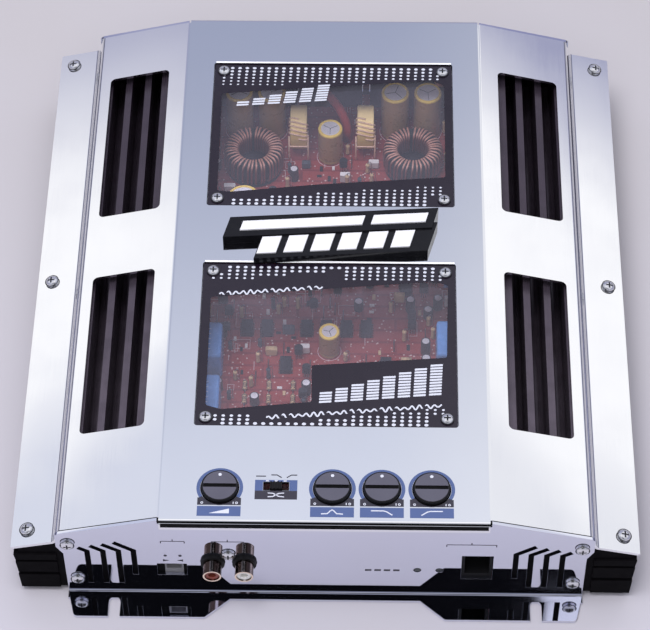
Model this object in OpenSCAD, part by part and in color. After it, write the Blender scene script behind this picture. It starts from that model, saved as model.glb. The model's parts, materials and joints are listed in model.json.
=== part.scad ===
// Two-channel car amplifier. A bent, mirror-finished cover with two clear panes closes over two
// finned heat sinks, a bottom plate and two end panels. The controls are on top at the front, the
// signal sockets are in the front panel, and the power and loudspeaker terminals are at the back.
// X runs across, +Y to the terminals and +Z up. The origin is at the middle of the underside.

/* [Body] */
// Width over the side flanges of the cover
body_w = 280; // [278:1:284]
// Length over the mounting tabs
mount_l = 329; // [326:1:332]
// Height of the cover's flat top
body_h = 60; // [60:0.5:62]
// Thickness of the cover, panels and bottom plate
sheet_t = 1.5; // [1:0.1:1.6]
// Width of the flat top between the sloping wings
flat_w = 146; // [144:1:148]
// Outer radius of the soft bend beside the flat top
top_bend_r = 6; // [4:0.5:8]

/* [Windows and vents] */
// Width of both windows
window_w = 118.8; // [116:0.2:120]
// Length of the rear window
rear_window_l = 93; // [90:0.5:94]
// Length of the front window
front_window_l = 94; // [90:0.5:95]
// Thickness of the clear panes
pane_t = 2; // [1.5:0.1:2.2]
// Width of the vents in the wings
vent_w = 29.8; // [28:0.2:30]
// Length of each vent
vent_l = 90.2; // [86:0.2:92]

/* [Heat sinks] */
// Distance from fin to fin
fin_pitch = 9.8; // [9.6:0.1:9.9]
// Thickness of a fin
fin_t = 3.3; // [3:0.1:3.6]
// Gap between the fins and the cover
fin_drop = 5; // [4:0.5:6]

/* [Controls] */
// Diameter of a knob
knob_d = 16.5; // [15:0.1:17]
// How far the knobs stand above the cover
knob_proud = 2; // [1:0.5:4]
// Diameter of a potentiometer shaft
shaft_d = 6; // [5:0.5:6.5]
// Length of the slot for the slide switch
switch_slot_l = 11.5; // [11:0.1:12]

/* [Sockets and terminals] */
// Distance between the two signal sockets
rca_pitch = 14.2; // [13.8:0.1:15]
// Outer diameter of a signal socket's barrel
rca_d = 8.3; // [8:0.1:8.4]
// Diameter of the power wire entries
power_bore_d = 7.2; // [6:0.2:8]
// Diameter of the loudspeaker wire entries
speaker_bore_d = 4.8; // [4.2:0.2:5.2]
// Width of the open-ended mounting notches
notch_w = 5.3; // [4.5:0.1:6]

/* [Hidden] */
$fn = 48;
eps = 0.01;
over = 30;

// Cover: half cross-section, as distances from the middle plane and heights
flat_half = flat_w / 2;
shoulder = [118, 48];
foot = [120.5, 39];
flange_edge = [body_w / 2, 34.1];
wing_slope = (body_h - shoulder[1]) / (shoulder[0] - flat_half);
flange_tilt = atan((foot[1] - flange_edge[1]) / (flange_edge[0] - foot[0]));
cover_half_l = 149.1;
lip_half_w = flat_half - 0.5;
lip_drop = 5;
lip_r = 2.6;
lip_y = 152.5;
shoulder_bend_r = 2.5;
foot_bend_r = 2;
flange_hole_l = 10;

// Panels: distances from the middle plane and heights
panel_in_y = 149.3;
panel_out_y = panel_in_y + sheet_t;
ear_x = 119.3;
panel_half_w = 116.4;
bend_r = 2.4;
tab_x = [54.1, 113.3];
tab_root_x = 43;
strip_y = 154.8;
notch_x = 95.2;
notch_end_y = 154.4;

// Windows and vents
rear_window_y = 75.1;
front_window_y = -53;
window_r = 1.5;
pane_gap = 0.3;
frame_t = 1.5;
frame_in = 3.6;
frame_out = 3;
window_z = body_h - 0.8;
window_screw_x = 54.4;
window_screw_inset = 5;
frame_r = 3;
frame_rim_t = 1;
frame_pad_r = 4;
frame_pad_h = 2.5;
vent_x = 96.9;
vent_y = [-53.4, 73.9];
vent_r = 2.5;
vent_cut_z = 42.5;

// Heat sinks
sink_half_l = 146.3;
sink_x = [78, 116.8];
first_fin_x = 83.2;
gap_floor_z = 20;
sink_wall_x = 111;
sink_wall_z = 44.5;
rail_x = 139;
rail_z = 2.5;
rail_top_z = 36.4;
rail_hollow = [[120.5, 5], [133.5, 25]];
lobes = [[30.2, 25], [24.2, 15.2], [13.6, rail_z]];
lobe_lean = 0.6;
lobe_step = 0.4;
lobe_inset = 0.4;
groove_x = 136.8;
cap_lobe_t = 1;
// Screw holes of a heat sink: middle and half length at its ends, lengths at flange and clamps
end_hole_y = 142;
end_hole_half_l = 5;
sink_hole_l = 18;
clamp_hole_l = 6;

// Controls
knob_x = [-46.3, 3.3, 25.1, 47];
knob_y = -133.4;
knob_z = 53.5;
knob_top = body_h + knob_proud;
knob_slot = [14, 1.7, 1.3];
control_z = 43;
control_box = [[-60, -146], [60, -120.5]];
board_t = 1.6;
pot_w = 14;
pot_h = 6.4;
bush_r = 3.9;
bush_h = 2;
shaft_z = [46, 57.2];
shaft_gap = 0.05;
socket_gap = 0.05;
knob_gap = 0.4;
switch_at = [-21.5, -132.4];
switch_slot_w = 4.6;
switch_stem = [5.3, 3.8];
switch_shoe = [8.6, 6.2, 2];
switch_travel = 2.6;
switch_gap = 0.35;
switch_top = 61.4;
switch_body_size = [23, 11, 9];
switch_shoe_low = 3.9;
deck_cut_z = 50;

// Circuit board
board_z = 8;
board_top = board_z + board_t;
board_half = [76, 147];
spacer_r = 3;
spacer_bore_r = 1.6;
spacer_x = 70;
spacer_y = [-128, 0, 128];
control_spacer_x = 55;
control_spacer_y = -123.6;
toroid_at = [[-40, 96.7], [40.4, 97.3]];
toroid_r = [8.6, 13.4];
toroid_z = [12, 24.4];
winding_t = 1.3;
choke_at = [[-17.5, 112.8], [16.4, 113]];
choke_r = [6.2, 11.2];
choke_t = 8.6;
choke_z = 22.3;
wire_t = 1;
choke_turns = 5;
lead_r = 2.3;
lead_foot = [7, 115];
lead_bend_r = 12;
lead_turn = 35;
lead_riser = 7;
lead_run = 14;

// Capacitors: place, radius and height
big_caps = [
    [-31.3, 121.5, 7, 30], [-47.8, 121.5, 7, 30], [31.3, 121.5, 7, 30], [47.8, 121.5, 7, 30],
    [-1.4, 103.9, 6.2, 22], [-43, 51, 8.2, 30], [43, 51, 8.2, 30], [0, -20.3, 5, 16.4]
];
film_at = [[-57.6, -27], [-57.6, -58], [57.8, -25], [57.8, -57]];
film_size = [13.5, 21, 18];

// Power stage
part_pitch = 24;
part_count = 9;
part_size = [4.4, 10.2, 15.6];
pad_t = 0.4;
clamp_t = 2;
clamp_h = 7;
clamp_rise = 9;
clamp_over = 8;
clamp_screw_l = 11;
part_z = 13;

// Sockets
rca_x = -42.9;
rca_z = 26.5;
rca_tip_y = 158.6;
rca_ring_y = panel_out_y + 1.5;
rca_ring_r = 5.4;
rca_ring_gap = 0.2;
rca_bore_y = 139;
rca_wall = 0.8;
rca_pin_r = 1.7;
rca_box = [[-58, -149.2, board_top], [-28, -134, 35.6]];
high_box = [[-71.8, -149.2, board_top], [-63.4, -138, 23.6]];
high_cavity = [6.6, 4.8];
high_hole = [[-75.1, 15.2], [-61.7, 24.6]];
jack_box = [[61.2, -149.2, board_top], [74.9, -133, 33.2]];
jack_cavity = [11, 14.6];
jack_hole = [[61, 14.4], [75.1, 33.4]];
lamp_x = [41.4, 51.3];
lamp_z = 21.3;
lamp_r = 1.5;
lamp_hole_r = 1.8;

// Rear terminals
power_pitch = 19;
power_x = [for (i = [0:2]) 28 + i * power_pitch];
speaker_pitch = 14;
speaker_x = [for (i = [0:3]) -68 + i * speaker_pitch];
segment_gap = 0.1;
terminal_y = 158;
terminal_top = 31;
terminal_bore_z = 18.5;
terminal_bore_l = 14;
terminal_screw_y = 151;
terminal_head = [2.6, 2.6];
terminal_shaft_r = 1.5;
terminal_head_z = 27.6;
terminal_tip_z = 23.2;
terminal_foot_y = 138;
power_box_x = [power_x[0] - power_pitch / 2, power_x[2] + power_pitch / 2];
speaker_box_x = [speaker_x[0] - speaker_pitch / 2, speaker_x[3] + speaker_pitch / 2];
fuse_box_x = [-14.5, 14.5];
fuse_x = [-6.5, 6.5];
fuse_size = [5, 16, 19];
fuse_y = 143;
fuse_box_y = 154;
fuse_low_z = (board_top + terminal_top - fuse_size[2]) / 2;

// Screws: shaft radius, length, head radius, head height
m3 = [1.5, 8, 3, 2];
m3_short = [1.5, 6, 2.8, 1.7];
screw_gap = 0.1;
cover_screw_x = 133.1;
cover_screw_y = [-141, 0, 141];
panel_screw_at = [[114, 40], [111.4, 12]];
bottom_screw_x = 98;
bottom_screw_y = [-120, -40, 40, 120];
bottom_hole_top = 11;
// Countersunk head: radius at its face, radius at its shaft, height
sunk_head = [3, 1.5, 1.2];
rca_screw_z = 32.8;

// ---- Plane geometry ----

function unit(v) = v / norm(v);
function left_of(v) = [-v[1], v[0]];

// Height of the cover's outer surface over the wings
function wing_z(x) = body_h - (abs(x) - flat_half) * wing_slope;

// Underside of the side flange
function flange_under(x) = foot[1] - (x - foot[0]) * tan(flange_tilt) - sheet_t / cos(flange_tilt);

// Arc that rounds corner b between points a and c
function round_corner(a, b, c, r, n) = let (
    u = unit(a - b),
    v = unit(c - b),
    half = acos(u * v) / 2,
    mid = b + unit(u + v) * r / sin(half),
    from = b + u * r / tan(half) - mid,
    to = b + v * r / tan(half) - mid,
    start = atan2(from[1], from[0]),
    raw = atan2(to[1], to[0]) - start,
    turn = raw > 180 ? raw - 360 : raw < -180 ? raw + 360 : raw
) [for (i = [0:n]) mid + r * [cos(start + turn * i / n), sin(start + turn * i / n)]];

// Line moved sideways by t, with mitred corners
function shifted(line, t) = [for (i = [0:len(line) - 1]) let (
    a = left_of(unit(i == 0 ? line[1] - line[0] : line[i] - line[i - 1])),
    b = left_of(unit(i == len(line) - 1 ? line[i] - line[i - 1] : line[i + 1] - line[i])),
    m = unit(a + b)
) line[i] + m * t / (m * a)];

function backwards(line) = [for (i = [len(line) - 1:-1:0]) line[i]];

// Outline of a strip with the line in its middle
function band(line, t) = concat(shifted(line, -t / 2), backwards(shifted(line, t / 2)));

function mirrored(line) = [for (p = line) [-p[0], p[1]]];

// ---- Shared solids ----

// Extrudes an outline drawn in X and Z along Y, from y0 to y1
module along_y(y0, y1) {
    translate([0, y1, 0]) rotate([90, 0, 0]) linear_extrude(y1 - y0) children();
}

module at_both_sides() {
    children();
    mirror([1, 0, 0]) children();
}

module block(low, high) {
    translate(low) cube(high - low);
}

// Plate with round corners, centred in X and Y
module round_plate(w, l, h, r) {
    translate([-w / 2 + r, -l / 2, 0]) cube([w - 2 * r, l, h]);
    translate([-w / 2, -l / 2 + r, 0]) cube([w, l - 2 * r, h]);
    for (x = [-1, 1], y = [-1, 1]) {
        translate([x * (w / 2 - r), y * (l / 2 - r), 0]) cylinder(r = r, h = h);
    }
}

// Pan-head screw with a cross recess: its head sits on z = 0 and its shaft points down
module pan_screw(s) {
    recess_w = 0.7;
    recess_l = s[2] * 1.15;
    difference() {
        union() {
            rotate_extrude() polygon([
                [0, 0], [s[2], 0], [s[2], s[3] * 0.4], [s[2] * 0.88, s[3] * 0.72],
                [s[2] * 0.6, s[3] * 0.93], [0, s[3]]
            ]);
            translate([0, 0, -s[1]]) cylinder(r = s[0], h = s[1] + eps);
        }
        for (a = [0, 90]) {
            rotate([0, 0, a]) translate([-recess_l / 2, -recess_w / 2, s[3] * 0.35]) {
                cube([recess_l, recess_w, s[3]]);
            }
        }
    }
}

module hole_z(x, y, r, z0, z1) {
    translate([x, y, z0]) cylinder(r = r, h = z1 - z0);
}

module hole_y(x, z, r, y0, y1) {
    translate([x, y0, z]) rotate([-90, 0, 0]) cylinder(r = r, h = y1 - y0);
}

// ---- Cover and panels ----

cover_line = concat(
    [[0, body_h]],
    round_corner([0, body_h], [flat_half, body_h], shoulder, top_bend_r, 6),
    round_corner([flat_half, body_h], shoulder, foot, shoulder_bend_r, 6),
    round_corner(shoulder, foot, flange_edge, foot_bend_r, 6),
    [flange_edge]
);
cover_half = concat(cover_line, backwards(shifted(cover_line, -sheet_t)));

lip_line = concat(
    [[cover_half_l - 2, body_h]],
    round_corner([0, body_h], [lip_y, body_h], [lip_y, 0], lip_r, 8),
    [[lip_y, body_h - lip_drop]]
);

module cover_lip() {
    rotate([90, 0, 90]) translate([0, 0, -lip_half_w]) linear_extrude(2 * lip_half_w) {
        polygon(concat(lip_line, backwards(shifted(lip_line, -sheet_t))));
    }
}

module window_cut(l, y) {
    translate([0, y, body_h - over / 2]) round_plate(window_w, l, over, window_r);
}

module top_cover() {
    color("gainsboro") difference() {
        union() {
            along_y(-cover_half_l, cover_half_l) {
                union() {
                    polygon(cover_half);
                    polygon(mirrored(cover_half));
                }
            }
            cover_lip();
            mirror([0, 1, 0]) cover_lip();
        }
        window_cut(rear_window_l, rear_window_y);
        window_cut(front_window_l, front_window_y);
        for (x = [-vent_x, vent_x], y = vent_y) {
            translate([x, y, vent_cut_z]) round_plate(vent_w, vent_l, over, vent_r);
        }
        for (x = knob_x) hole_z(x, knob_y, knob_d / 2 + knob_gap, deck_cut_z, deck_cut_z + over);
        translate([switch_at[0] - switch_slot_l / 2, switch_at[1] - switch_slot_w / 2, deck_cut_z]) {
            cube([switch_slot_l, switch_slot_w, over]);
        }
        for (y = cover_screw_y) {
            at_both_sides() place_on_flange(y) {
                cylinder(r = m3[0] + screw_gap, h = flange_hole_l, center = true);
            }
        }
    }
}

// Puts a piece on the right-hand side flange, square to its sloping surface
module place_on_flange(y) {
    z = foot[1] - (cover_screw_x - foot[0]) * tan(flange_tilt);
    translate([cover_screw_x, y, z]) rotate([0, flange_tilt, 0]) children();
}

// Half outline of a panel, seen from its front
panel_half = [
    [0, 3], [0, body_h - 2.9], [flat_half + 0.3, body_h - 2.9],
    [flat_half + 0.3, wing_z(flat_half + 0.3) - 0.3], [shoulder[0] - 0.4, shoulder[1] - 0.2],
    [ear_x, shoulder[1] - 1.5], [ear_x, foot[1] - 1.5], [panel_half_w, 32], [panel_half_w, 3]
];

// Bend between a panel and its mounting strip, in Y and Z
bend_line = concat(
    [[panel_in_y, 4]],
    round_corner([panel_in_y, 4], [panel_in_y, 0], [strip_y, 0], bend_r, 6),
    [[strip_y, 0]]
);

// Half outline of the mounting strip with its tab, in X and Y
strip_half = concat(
    [[0, panel_in_y + bend_r], [0, strip_y], [tab_root_x, strip_y]],
    round_corner([tab_root_x, strip_y], [tab_x[0], mount_l / 2], [tab_x[1], mount_l / 2], 2, 4),
    round_corner([tab_x[0], mount_l / 2], [tab_x[1], mount_l / 2], [panel_half_w, 150], 2, 4),
    [[panel_half_w, panel_in_y + bend_r]]
);

// Panel with its mounting strip, on the +Y side
module panel_blank() {
    along_y(panel_in_y, panel_out_y) union() {
        polygon(panel_half);
        polygon(mirrored(panel_half));
    }
    rotate([90, 0, 90]) translate([0, 0, -panel_half_w]) linear_extrude(2 * panel_half_w) {
        polygon(concat(bend_line, backwards(shifted(bend_line, sheet_t))));
    }
    difference() {
        at_both_sides() linear_extrude(sheet_t) polygon(strip_half);
        for (x = [-notch_x, notch_x]) {
            hole_z(x, notch_end_y + notch_w / 2, notch_w / 2, -1, 3);
            translate([x - notch_w / 2, notch_end_y + notch_w / 2, -1]) cube([notch_w, 20, 4]);
        }
    }
}

// Vent slots of a panel: foot height, bend and tip of each slot's middle line
slot_w = 2.5;
slot_bend_z = 34.2;
slot_lines = [
    [[85, 15.2], [85, slot_bend_z + 0.8], [93.6, 41.4]],
    [[91.7, 8], [91.7, slot_bend_z + 0.5], [98.9, 39.8]],
    [[98.6, 8], [98.6, slot_bend_z + 0.2], [104.2, 38.5]],
    [[105.7, 8], [105.7, slot_bend_z], [109.6, 36.9]]
];

module panel_slots() {
    at_both_sides() along_y(panel_in_y - 1, panel_out_y + 1) {
        for (line = slot_lines) polygon(band(line, slot_w));
    }
}

module panel_screw_holes() {
    for (p = panel_screw_at) {
        at_both_sides() hole_y(p[0], p[1], m3[0] + screw_gap, panel_in_y - 1, panel_out_y + 1);
    }
}

module front_hole(x, z, r) {
    hole_y(x, z, r, -panel_out_y - 1, -panel_in_y + 1);
}

// Rectangular opening in the front panel
module panel_cut(low, high) {
    along_y(-panel_out_y - 1, -panel_in_y + 1) translate(low) square(high - low);
}

module front_panel() {
    color("lightsteelblue") difference() {
        mirror([0, 1, 0]) difference() {
            panel_blank();
            panel_slots();
            panel_screw_holes();
        }
        for (s = [-1, 1]) front_hole(rca_x + s * rca_pitch / 2, rca_z, rca_ring_r + rca_ring_gap);
        front_hole(rca_x, rca_screw_z, m3[0] + screw_gap);
        for (x = lamp_x) front_hole(x, lamp_z, lamp_hole_r);
        panel_cut(high_hole[0], high_hole[1]);
        panel_cut(jack_hole[0], jack_hole[1]);
    }
}

module rear_panel() {
    terminal_gap = 0.3;
    color("lightsteelblue") difference() {
        panel_blank();
        panel_slots();
        panel_screw_holes();
        for (x = [power_box_x, speaker_box_x, fuse_box_x]) {
            block(
                [x[0] - terminal_gap, panel_in_y - 1, board_top - terminal_gap],
                [x[1] + terminal_gap, panel_out_y + 1, terminal_top + terminal_gap]
            );
        }
    }
}

module bottom_plate() {
    half_l = panel_in_y - 0.2;
    color("silver") difference() {
        block([-sink_x[1], -half_l, 0], [sink_x[1], half_l, sheet_t]);
        for (x = [-bottom_screw_x, bottom_screw_x], y = bottom_screw_y) {
            translate([x, y, -eps]) {
                cylinder(
                    r1 = sunk_head[0] + 2 * screw_gap,
                    r2 = sunk_head[1] + screw_gap,
                    h = sunk_head[2] + screw_gap
                );
            }
            hole_z(x, y, m3[0] + screw_gap, 0, 3);
        }
    }
}

// ---- Heat sinks ----

rail_side = [for (i = [0:2]) let (x = rail_x - i * lobe_step, z = lobes[i])
    each [
        [groove_x, z[0]], [x, z[0] - lobe_inset],
        [x - lobe_lean, z[1] + lobe_inset], [groove_x, z[1]]
    ]
];

// Whole outline of a heat sink's cross-section, without its fin gaps
sink_outline = concat(
    [[sink_x[0], sheet_t], [sink_x[0], wing_z(sink_x[0]) - sheet_t - fin_drop]],
    [[sink_wall_x, wing_z(sink_wall_x) - sheet_t - fin_drop], [sink_wall_x, sink_wall_z]],
    [[sink_x[1], sink_wall_z], [sink_x[1], rail_top_z], [foot[0] + 1.5, rail_top_z]],
    [[groove_x, flange_under(groove_x) - 0.2]],
    rail_side,
    [[sink_x[1], rail_z], [sink_x[1], sheet_t]]
);

// The three round-bottomed gaps between the fins
module fin_gaps() {
    for (i = [0:2]) {
        low = first_fin_x + i * fin_pitch + fin_t / 2;
        high = i == 2 ? sink_wall_x : low + fin_pitch - fin_t;
        r = (high - low) / 2;
        translate([low + r, gap_floor_z]) circle(r = r);
        translate([low, gap_floor_z]) square([2 * r, over]);
    }
}

module heatsink() {
    difference() {
        along_y(-sink_half_l, sink_half_l) difference() {
            polygon(sink_outline);
            fin_gaps();
            translate(rail_hollow[0]) square(rail_hollow[1] - rail_hollow[0]);
        }
        for (p = panel_screw_at, y = [-end_hole_y, end_hole_y]) {
            hole_y(p[0], p[1], m3[0] + screw_gap, y - end_hole_half_l, y + end_hole_half_l);
        }
        for (y = cover_screw_y) {
            place_on_flange(y) cylinder(r = m3[0] + screw_gap, h = sink_hole_l, center = true);
        }
        for (y = bottom_screw_y) hole_z(bottom_screw_x, y, m3[0] + screw_gap, 0, bottom_hole_top);
        for (y = clamp_screw_ys) {
            translate([sink_x[0] - 1, y, clamp_screw_z]) rotate([0, 90, 0]) {
                cylinder(r = m3[0] + screw_gap, h = clamp_hole_l);
            }
        }
    }
}

module heatsink_right() {
    color("#1a1a1c") heatsink();
}

module heatsink_left() {
    color("#1a1a1c") mirror([1, 0, 0]) heatsink();
}

// End cap of a heat sink with three ribs round its corner and a plug in the hollow
module end_cap() {
    back = panel_in_y - 0.1;
    lobe_foot_x = ear_x + 0.6;
    plug_gap = 0.2;
    plug_l = 4;
    difference() {
        union() {
            along_y(sink_half_l, back) polygon(sink_outline);
            along_y(back - eps, back + cap_lobe_t) {
                for (i = [0:2]) {
                    x = rail_x - i * lobe_step;
                    polygon([
                        [lobe_foot_x, lobes[i][0] - lobe_inset], [x, lobes[i][0] - lobe_inset],
                        [x - lobe_lean, lobes[i][1] + lobe_inset],
                        [lobe_foot_x, lobes[i][1] + lobe_inset]
                    ]);
                }
            }
            block(
                [rail_hollow[0][0] + plug_gap, sink_half_l - plug_l, rail_hollow[0][1] + plug_gap],
                [rail_hollow[1][0] - plug_gap, sink_half_l + 1, rail_hollow[1][1] - plug_gap]
            );
        }
        for (p = panel_screw_at) hole_y(p[0], p[1], m3[0] + screw_gap, end_hole_y, panel_out_y + 1);
    }
}

module end_caps_rear() {
    color("#202022") at_both_sides() end_cap();
}

module end_caps_front() {
    color("#202022") mirror([0, 1, 0]) at_both_sides() end_cap();
}

// ---- Windows and badge ----

module pane(l, y) {
    color([0.75, 0.8, 0.9, 0.4]) difference() {
        translate([0, y, window_z - pane_t + eps]) {
            round_plate(window_w - 2 * pane_gap, l - 2 * pane_gap, pane_t - eps, window_r);
        }
        window_screw_places(l, y) cylinder(r = m3[0] + screw_gap, h = over, center = true);
    }
}

module window_screw_places(l, y) {
    for (x = [-window_screw_x, window_screw_x], side = [-1, 1]) {
        translate([x, y + side * (l / 2 - window_screw_inset), window_z]) children();
    }
}

module window_rear() {
    pane(rear_window_l, rear_window_y);
}

module window_front() {
    pane(front_window_l, front_window_y);
}

// Frame under the cover that a pane is screwed to
module window_frame(l, y) {
    difference() {
        translate([0, y, 0]) difference() {
            translate([0, 0, window_z - pane_t - frame_t]) {
                round_plate(window_w + 2 * frame_out, l + 2 * frame_out, frame_t, frame_r);
            }
            translate([0, 0, window_z - over / 2]) {
                round_plate(window_w - 2 * frame_in, l - 2 * frame_in, over, 1);
            }
        }
        window_screw_places(l, y) cylinder(r = m3[0] + screw_gap, h = over, center = true);
    }
    // Upright rim that joins the frame to the underside of the cover
    rim_h = body_h - sheet_t - window_z + pane_t + eps;
    rim_in = frame_out - frame_rim_t;
    translate([0, y, window_z - pane_t - eps]) difference() {
        round_plate(window_w + 2 * frame_out, l + 2 * frame_out, rim_h, frame_r);
        translate([0, 0, -1]) {
            round_plate(window_w + 2 * rim_in, l + 2 * rim_in, over, frame_r - frame_rim_t);
        }
    }
    // Corner pads that take the screws
    difference() {
        window_screw_places(l, y) {
            translate([0, 0, -pane_t - frame_t - frame_pad_h]) {
                cylinder(r = frame_pad_r, h = frame_pad_h + eps);
            }
        }
        window_screw_places(l, y) cylinder(r = m3[0] + screw_gap, h = over, center = true);
    }
}

module window_frames() {
    color("dimgray") {
        window_frame(rear_window_l, rear_window_y);
        window_frame(front_window_l, front_window_y);
    }
}

module window_screws() {
    color("silver") {
        window_screw_places(rear_window_l, rear_window_y) pan_screw(m3_short);
        window_screw_places(front_window_l, front_window_y) pan_screw(m3_short);
    }
}

// Outline of the badge: a leaning plate with a longer upper bar
badge_tilt = 4;
badge_at = [0.4, 8.6];
badge_h = 5;
inlay_h = 1.2;
inlay_proud = 0.6;
inlay_gap = 0.15;
badge_step = 1;
inlay_foot = badge_h - inlay_h + inlay_proud;
badge_lower = [[-37, -13], [45, -13], [51, 4], [-31, 4]];
badge_upper = [[-51, 0], [48, 0], [52, 12], [-47, 12]];

// Bars let into the badge: start, width, foot and top height of each leaning bar
badge_lean = 0.34;
lower_bars = [for (i = [0:5]) [-32 + i * 12.6, 9.2, -10.4, -0.6]];
upper_bars = [[-44, 58, 3.4, 8.8], [18, 26, 3.4, 8.8]];

module badge_plate() {
    color("#141416") translate([badge_at[0], badge_at[1], body_h]) rotate([0, 0, badge_tilt]) {
        difference() {
            union() {
                linear_extrude(badge_h - badge_step) polygon(badge_lower);
                linear_extrude(badge_h) polygon(badge_upper);
            }
            translate([0, 0, inlay_foot - badge_step]) badge_bars(lower_bars, badge_h, inlay_gap);
            translate([0, 0, inlay_foot]) badge_bars(upper_bars, badge_h, inlay_gap);
        }
    }
}

module badge_bars(bars, h, gap) {
    linear_extrude(h) for (b = bars) {
        polygon([
            [b[0] + b[2] * badge_lean - gap, b[2] - gap],
            [b[0] + b[1] + b[2] * badge_lean + gap, b[2] - gap],
            [b[0] + b[1] + b[3] * badge_lean + gap, b[3] + gap],
            [b[0] + b[3] * badge_lean - gap, b[3] + gap]
        ]);
    }
}

module badge_inlay() {
    color("white") translate([badge_at[0], badge_at[1], body_h]) rotate([0, 0, badge_tilt]) {
        translate([0, 0, inlay_foot - badge_step]) badge_bars(lower_bars, inlay_h, 0);
        translate([0, 0, inlay_foot]) badge_bars(upper_bars, inlay_h, 0);
    }
}

// ---- Controls ----

module knob(x) {
    r = knob_d / 2;
    chamfer = 0.4;
    color("#3a3a3e") translate([x, knob_y, 0]) difference() {
        union() {
            hole_z(0, 0, r, knob_z, knob_top - chamfer);
            translate([0, 0, knob_top - chamfer]) cylinder(r1 = r, r2 = r - chamfer, h = chamfer);
        }
        hole_z(0, 0, shaft_d / 2 + socket_gap, knob_z - 1, shaft_z[1] + 2 * socket_gap);
        translate([-knob_slot[0] / 2, -knob_slot[1] / 2, knob_top - knob_slot[2]]) {
            cube([knob_slot[0], knob_slot[1], over]);
        }
    }
}

module knob_level() {
    knob(knob_x[0]);
}

module knob_bass() {
    knob(knob_x[1]);
}

module knob_low_pass() {
    knob(knob_x[2]);
}

module knob_high_pass() {
    knob(knob_x[3]);
}

module pot_shaft(x) {
    color("silver") hole_z(x, knob_y, shaft_d / 2, shaft_z[0], shaft_z[1]);
}

module shaft_level() {
    pot_shaft(knob_x[0]);
}

module shaft_bass() {
    pot_shaft(knob_x[1]);
}

module shaft_low_pass() {
    pot_shaft(knob_x[2]);
}

module shaft_high_pass() {
    pot_shaft(knob_x[3]);
}

module pot_bodies() {
    low = control_z + board_t;
    floor_t = 1;
    color("slategray") for (x = knob_x) {
        translate([x, knob_y, low]) difference() {
            union() {
                translate([0, 0, pot_h / 2]) cube([pot_w, pot_w, pot_h], center = true);
                cylinder(r = bush_r, h = pot_h + bush_h);
            }
            translate([0, 0, floor_t]) cylinder(r = shaft_d / 2 + shaft_gap, h = over);
        }
    }
}

module switch_body() {
    size = switch_body_size;
    low = control_z + board_t;
    run = switch_travel + switch_gap;
    chamber_low = switch_shoe_low - 0.4;
    chamber_h = switch_shoe[2] + 0.8;
    color("silver") translate([switch_at[0], switch_at[1], low]) difference() {
        translate([-size[0] / 2, -size[1] / 2, 0]) cube(size);
        translate([-switch_shoe[0] / 2 - run, -switch_shoe[1] / 2 - switch_gap, chamber_low]) {
            cube([switch_shoe[0] + 2 * run, switch_shoe[1] + 2 * switch_gap, chamber_h]);
        }
        translate([-switch_stem[0] / 2 - run, -switch_stem[1] / 2 - switch_gap, switch_shoe_low]) {
            cube([switch_stem[0] + 2 * run, switch_stem[1] + 2 * switch_gap, over]);
        }
    }
}

module switch_slider() {
    ridge = [0.8, 0.5];
    ridge_pitch = 1.6;
    shoe_z = control_z + board_t + switch_shoe_low;
    color("#161618") translate([switch_at[0], switch_at[1], 0]) {
        difference() {
            block(
                [-switch_stem[0] / 2, -switch_stem[1] / 2, shoe_z],
                [switch_stem[0] / 2, switch_stem[1] / 2, switch_top]
            );
            for (i = [-1:1]) {
                translate([i * ridge_pitch - ridge[0] / 2, -over / 2, switch_top - ridge[1]]) {
                    cube([ridge[0], over, over]);
                }
            }
        }
        translate([-switch_shoe[0] / 2, -switch_shoe[1] / 2, shoe_z]) cube(switch_shoe);
    }
}

module control_board() {
    low = [control_box[0][0], control_box[0][1], control_z];
    high = [control_box[1][0], control_box[1][1], control_z + board_t];
    color("firebrick") difference() {
        block(low, high);
        for (s = [-1, 1]) {
            hole_z(s * control_spacer_x, control_spacer_y, spacer_bore_r, control_z - 1, high[2] + 1);
        }
    }
}

// ---- Circuit board and what stands on it ----

module main_board() {
    color("firebrick") difference() {
        block([-board_half[0], -board_half[1], board_z], [board_half[0], board_half[1], board_top]);
        for (x = [-spacer_x, spacer_x], y = spacer_y) {
            hole_z(x, y, spacer_bore_r, board_z - 1, board_top + 1);
        }
    }
}

// Hexagonal spacers under the board, and the taller pair that carries the control board
module standoffs() {
    color("goldenrod") {
        for (x = [-spacer_x, spacer_x], y = spacer_y) difference() {
            translate([x, y, sheet_t]) cylinder(r = spacer_r, h = board_z - sheet_t, $fn = 6);
            hole_z(x, y, spacer_bore_r, 0, board_top);
        }
        for (s = [-1, 1]) {
            translate([s * control_spacer_x, control_spacer_y, board_top]) {
                cylinder(r = spacer_r, h = control_z - board_top, $fn = 6);
            }
        }
    }
}

module board_screws() {
    color("silver") {
        for (x = [-spacer_x, spacer_x], y = spacer_y) {
            translate([x, y, board_top]) pan_screw(m3_short);
        }
        for (s = [-1, 1]) {
            translate([s * control_spacer_x, control_spacer_y, control_z + board_t]) {
                pan_screw([m3_short[0], board_t - 0.1, m3_short[2], m3_short[3]]);
            }
        }
    }
}

module ring(r0, r1, z0, z1) {
    rotate_extrude() translate([r0, z0]) square([r1 - r0, z1 - z0]);
}

module toroid_cores() {
    color("darkolivegreen") for (p = toroid_at) {
        translate([p[0], p[1], 0]) ring(toroid_r[0], toroid_r[1], toroid_z[0], toroid_z[1]);
    }
}

// Closely wound layer round each toroid core
module toroid_windings() {
    gap = 0.1;
    t = winding_t;
    color("chocolate") for (p = toroid_at) translate([p[0], p[1], 0]) difference() {
        ring(toroid_r[0] - t, toroid_r[1] + t, toroid_z[0] - t, toroid_z[1] + t);
        ring(toroid_r[0] - gap, toroid_r[1] + gap, toroid_z[0] - gap, toroid_z[1] + gap);
    }
}

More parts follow.
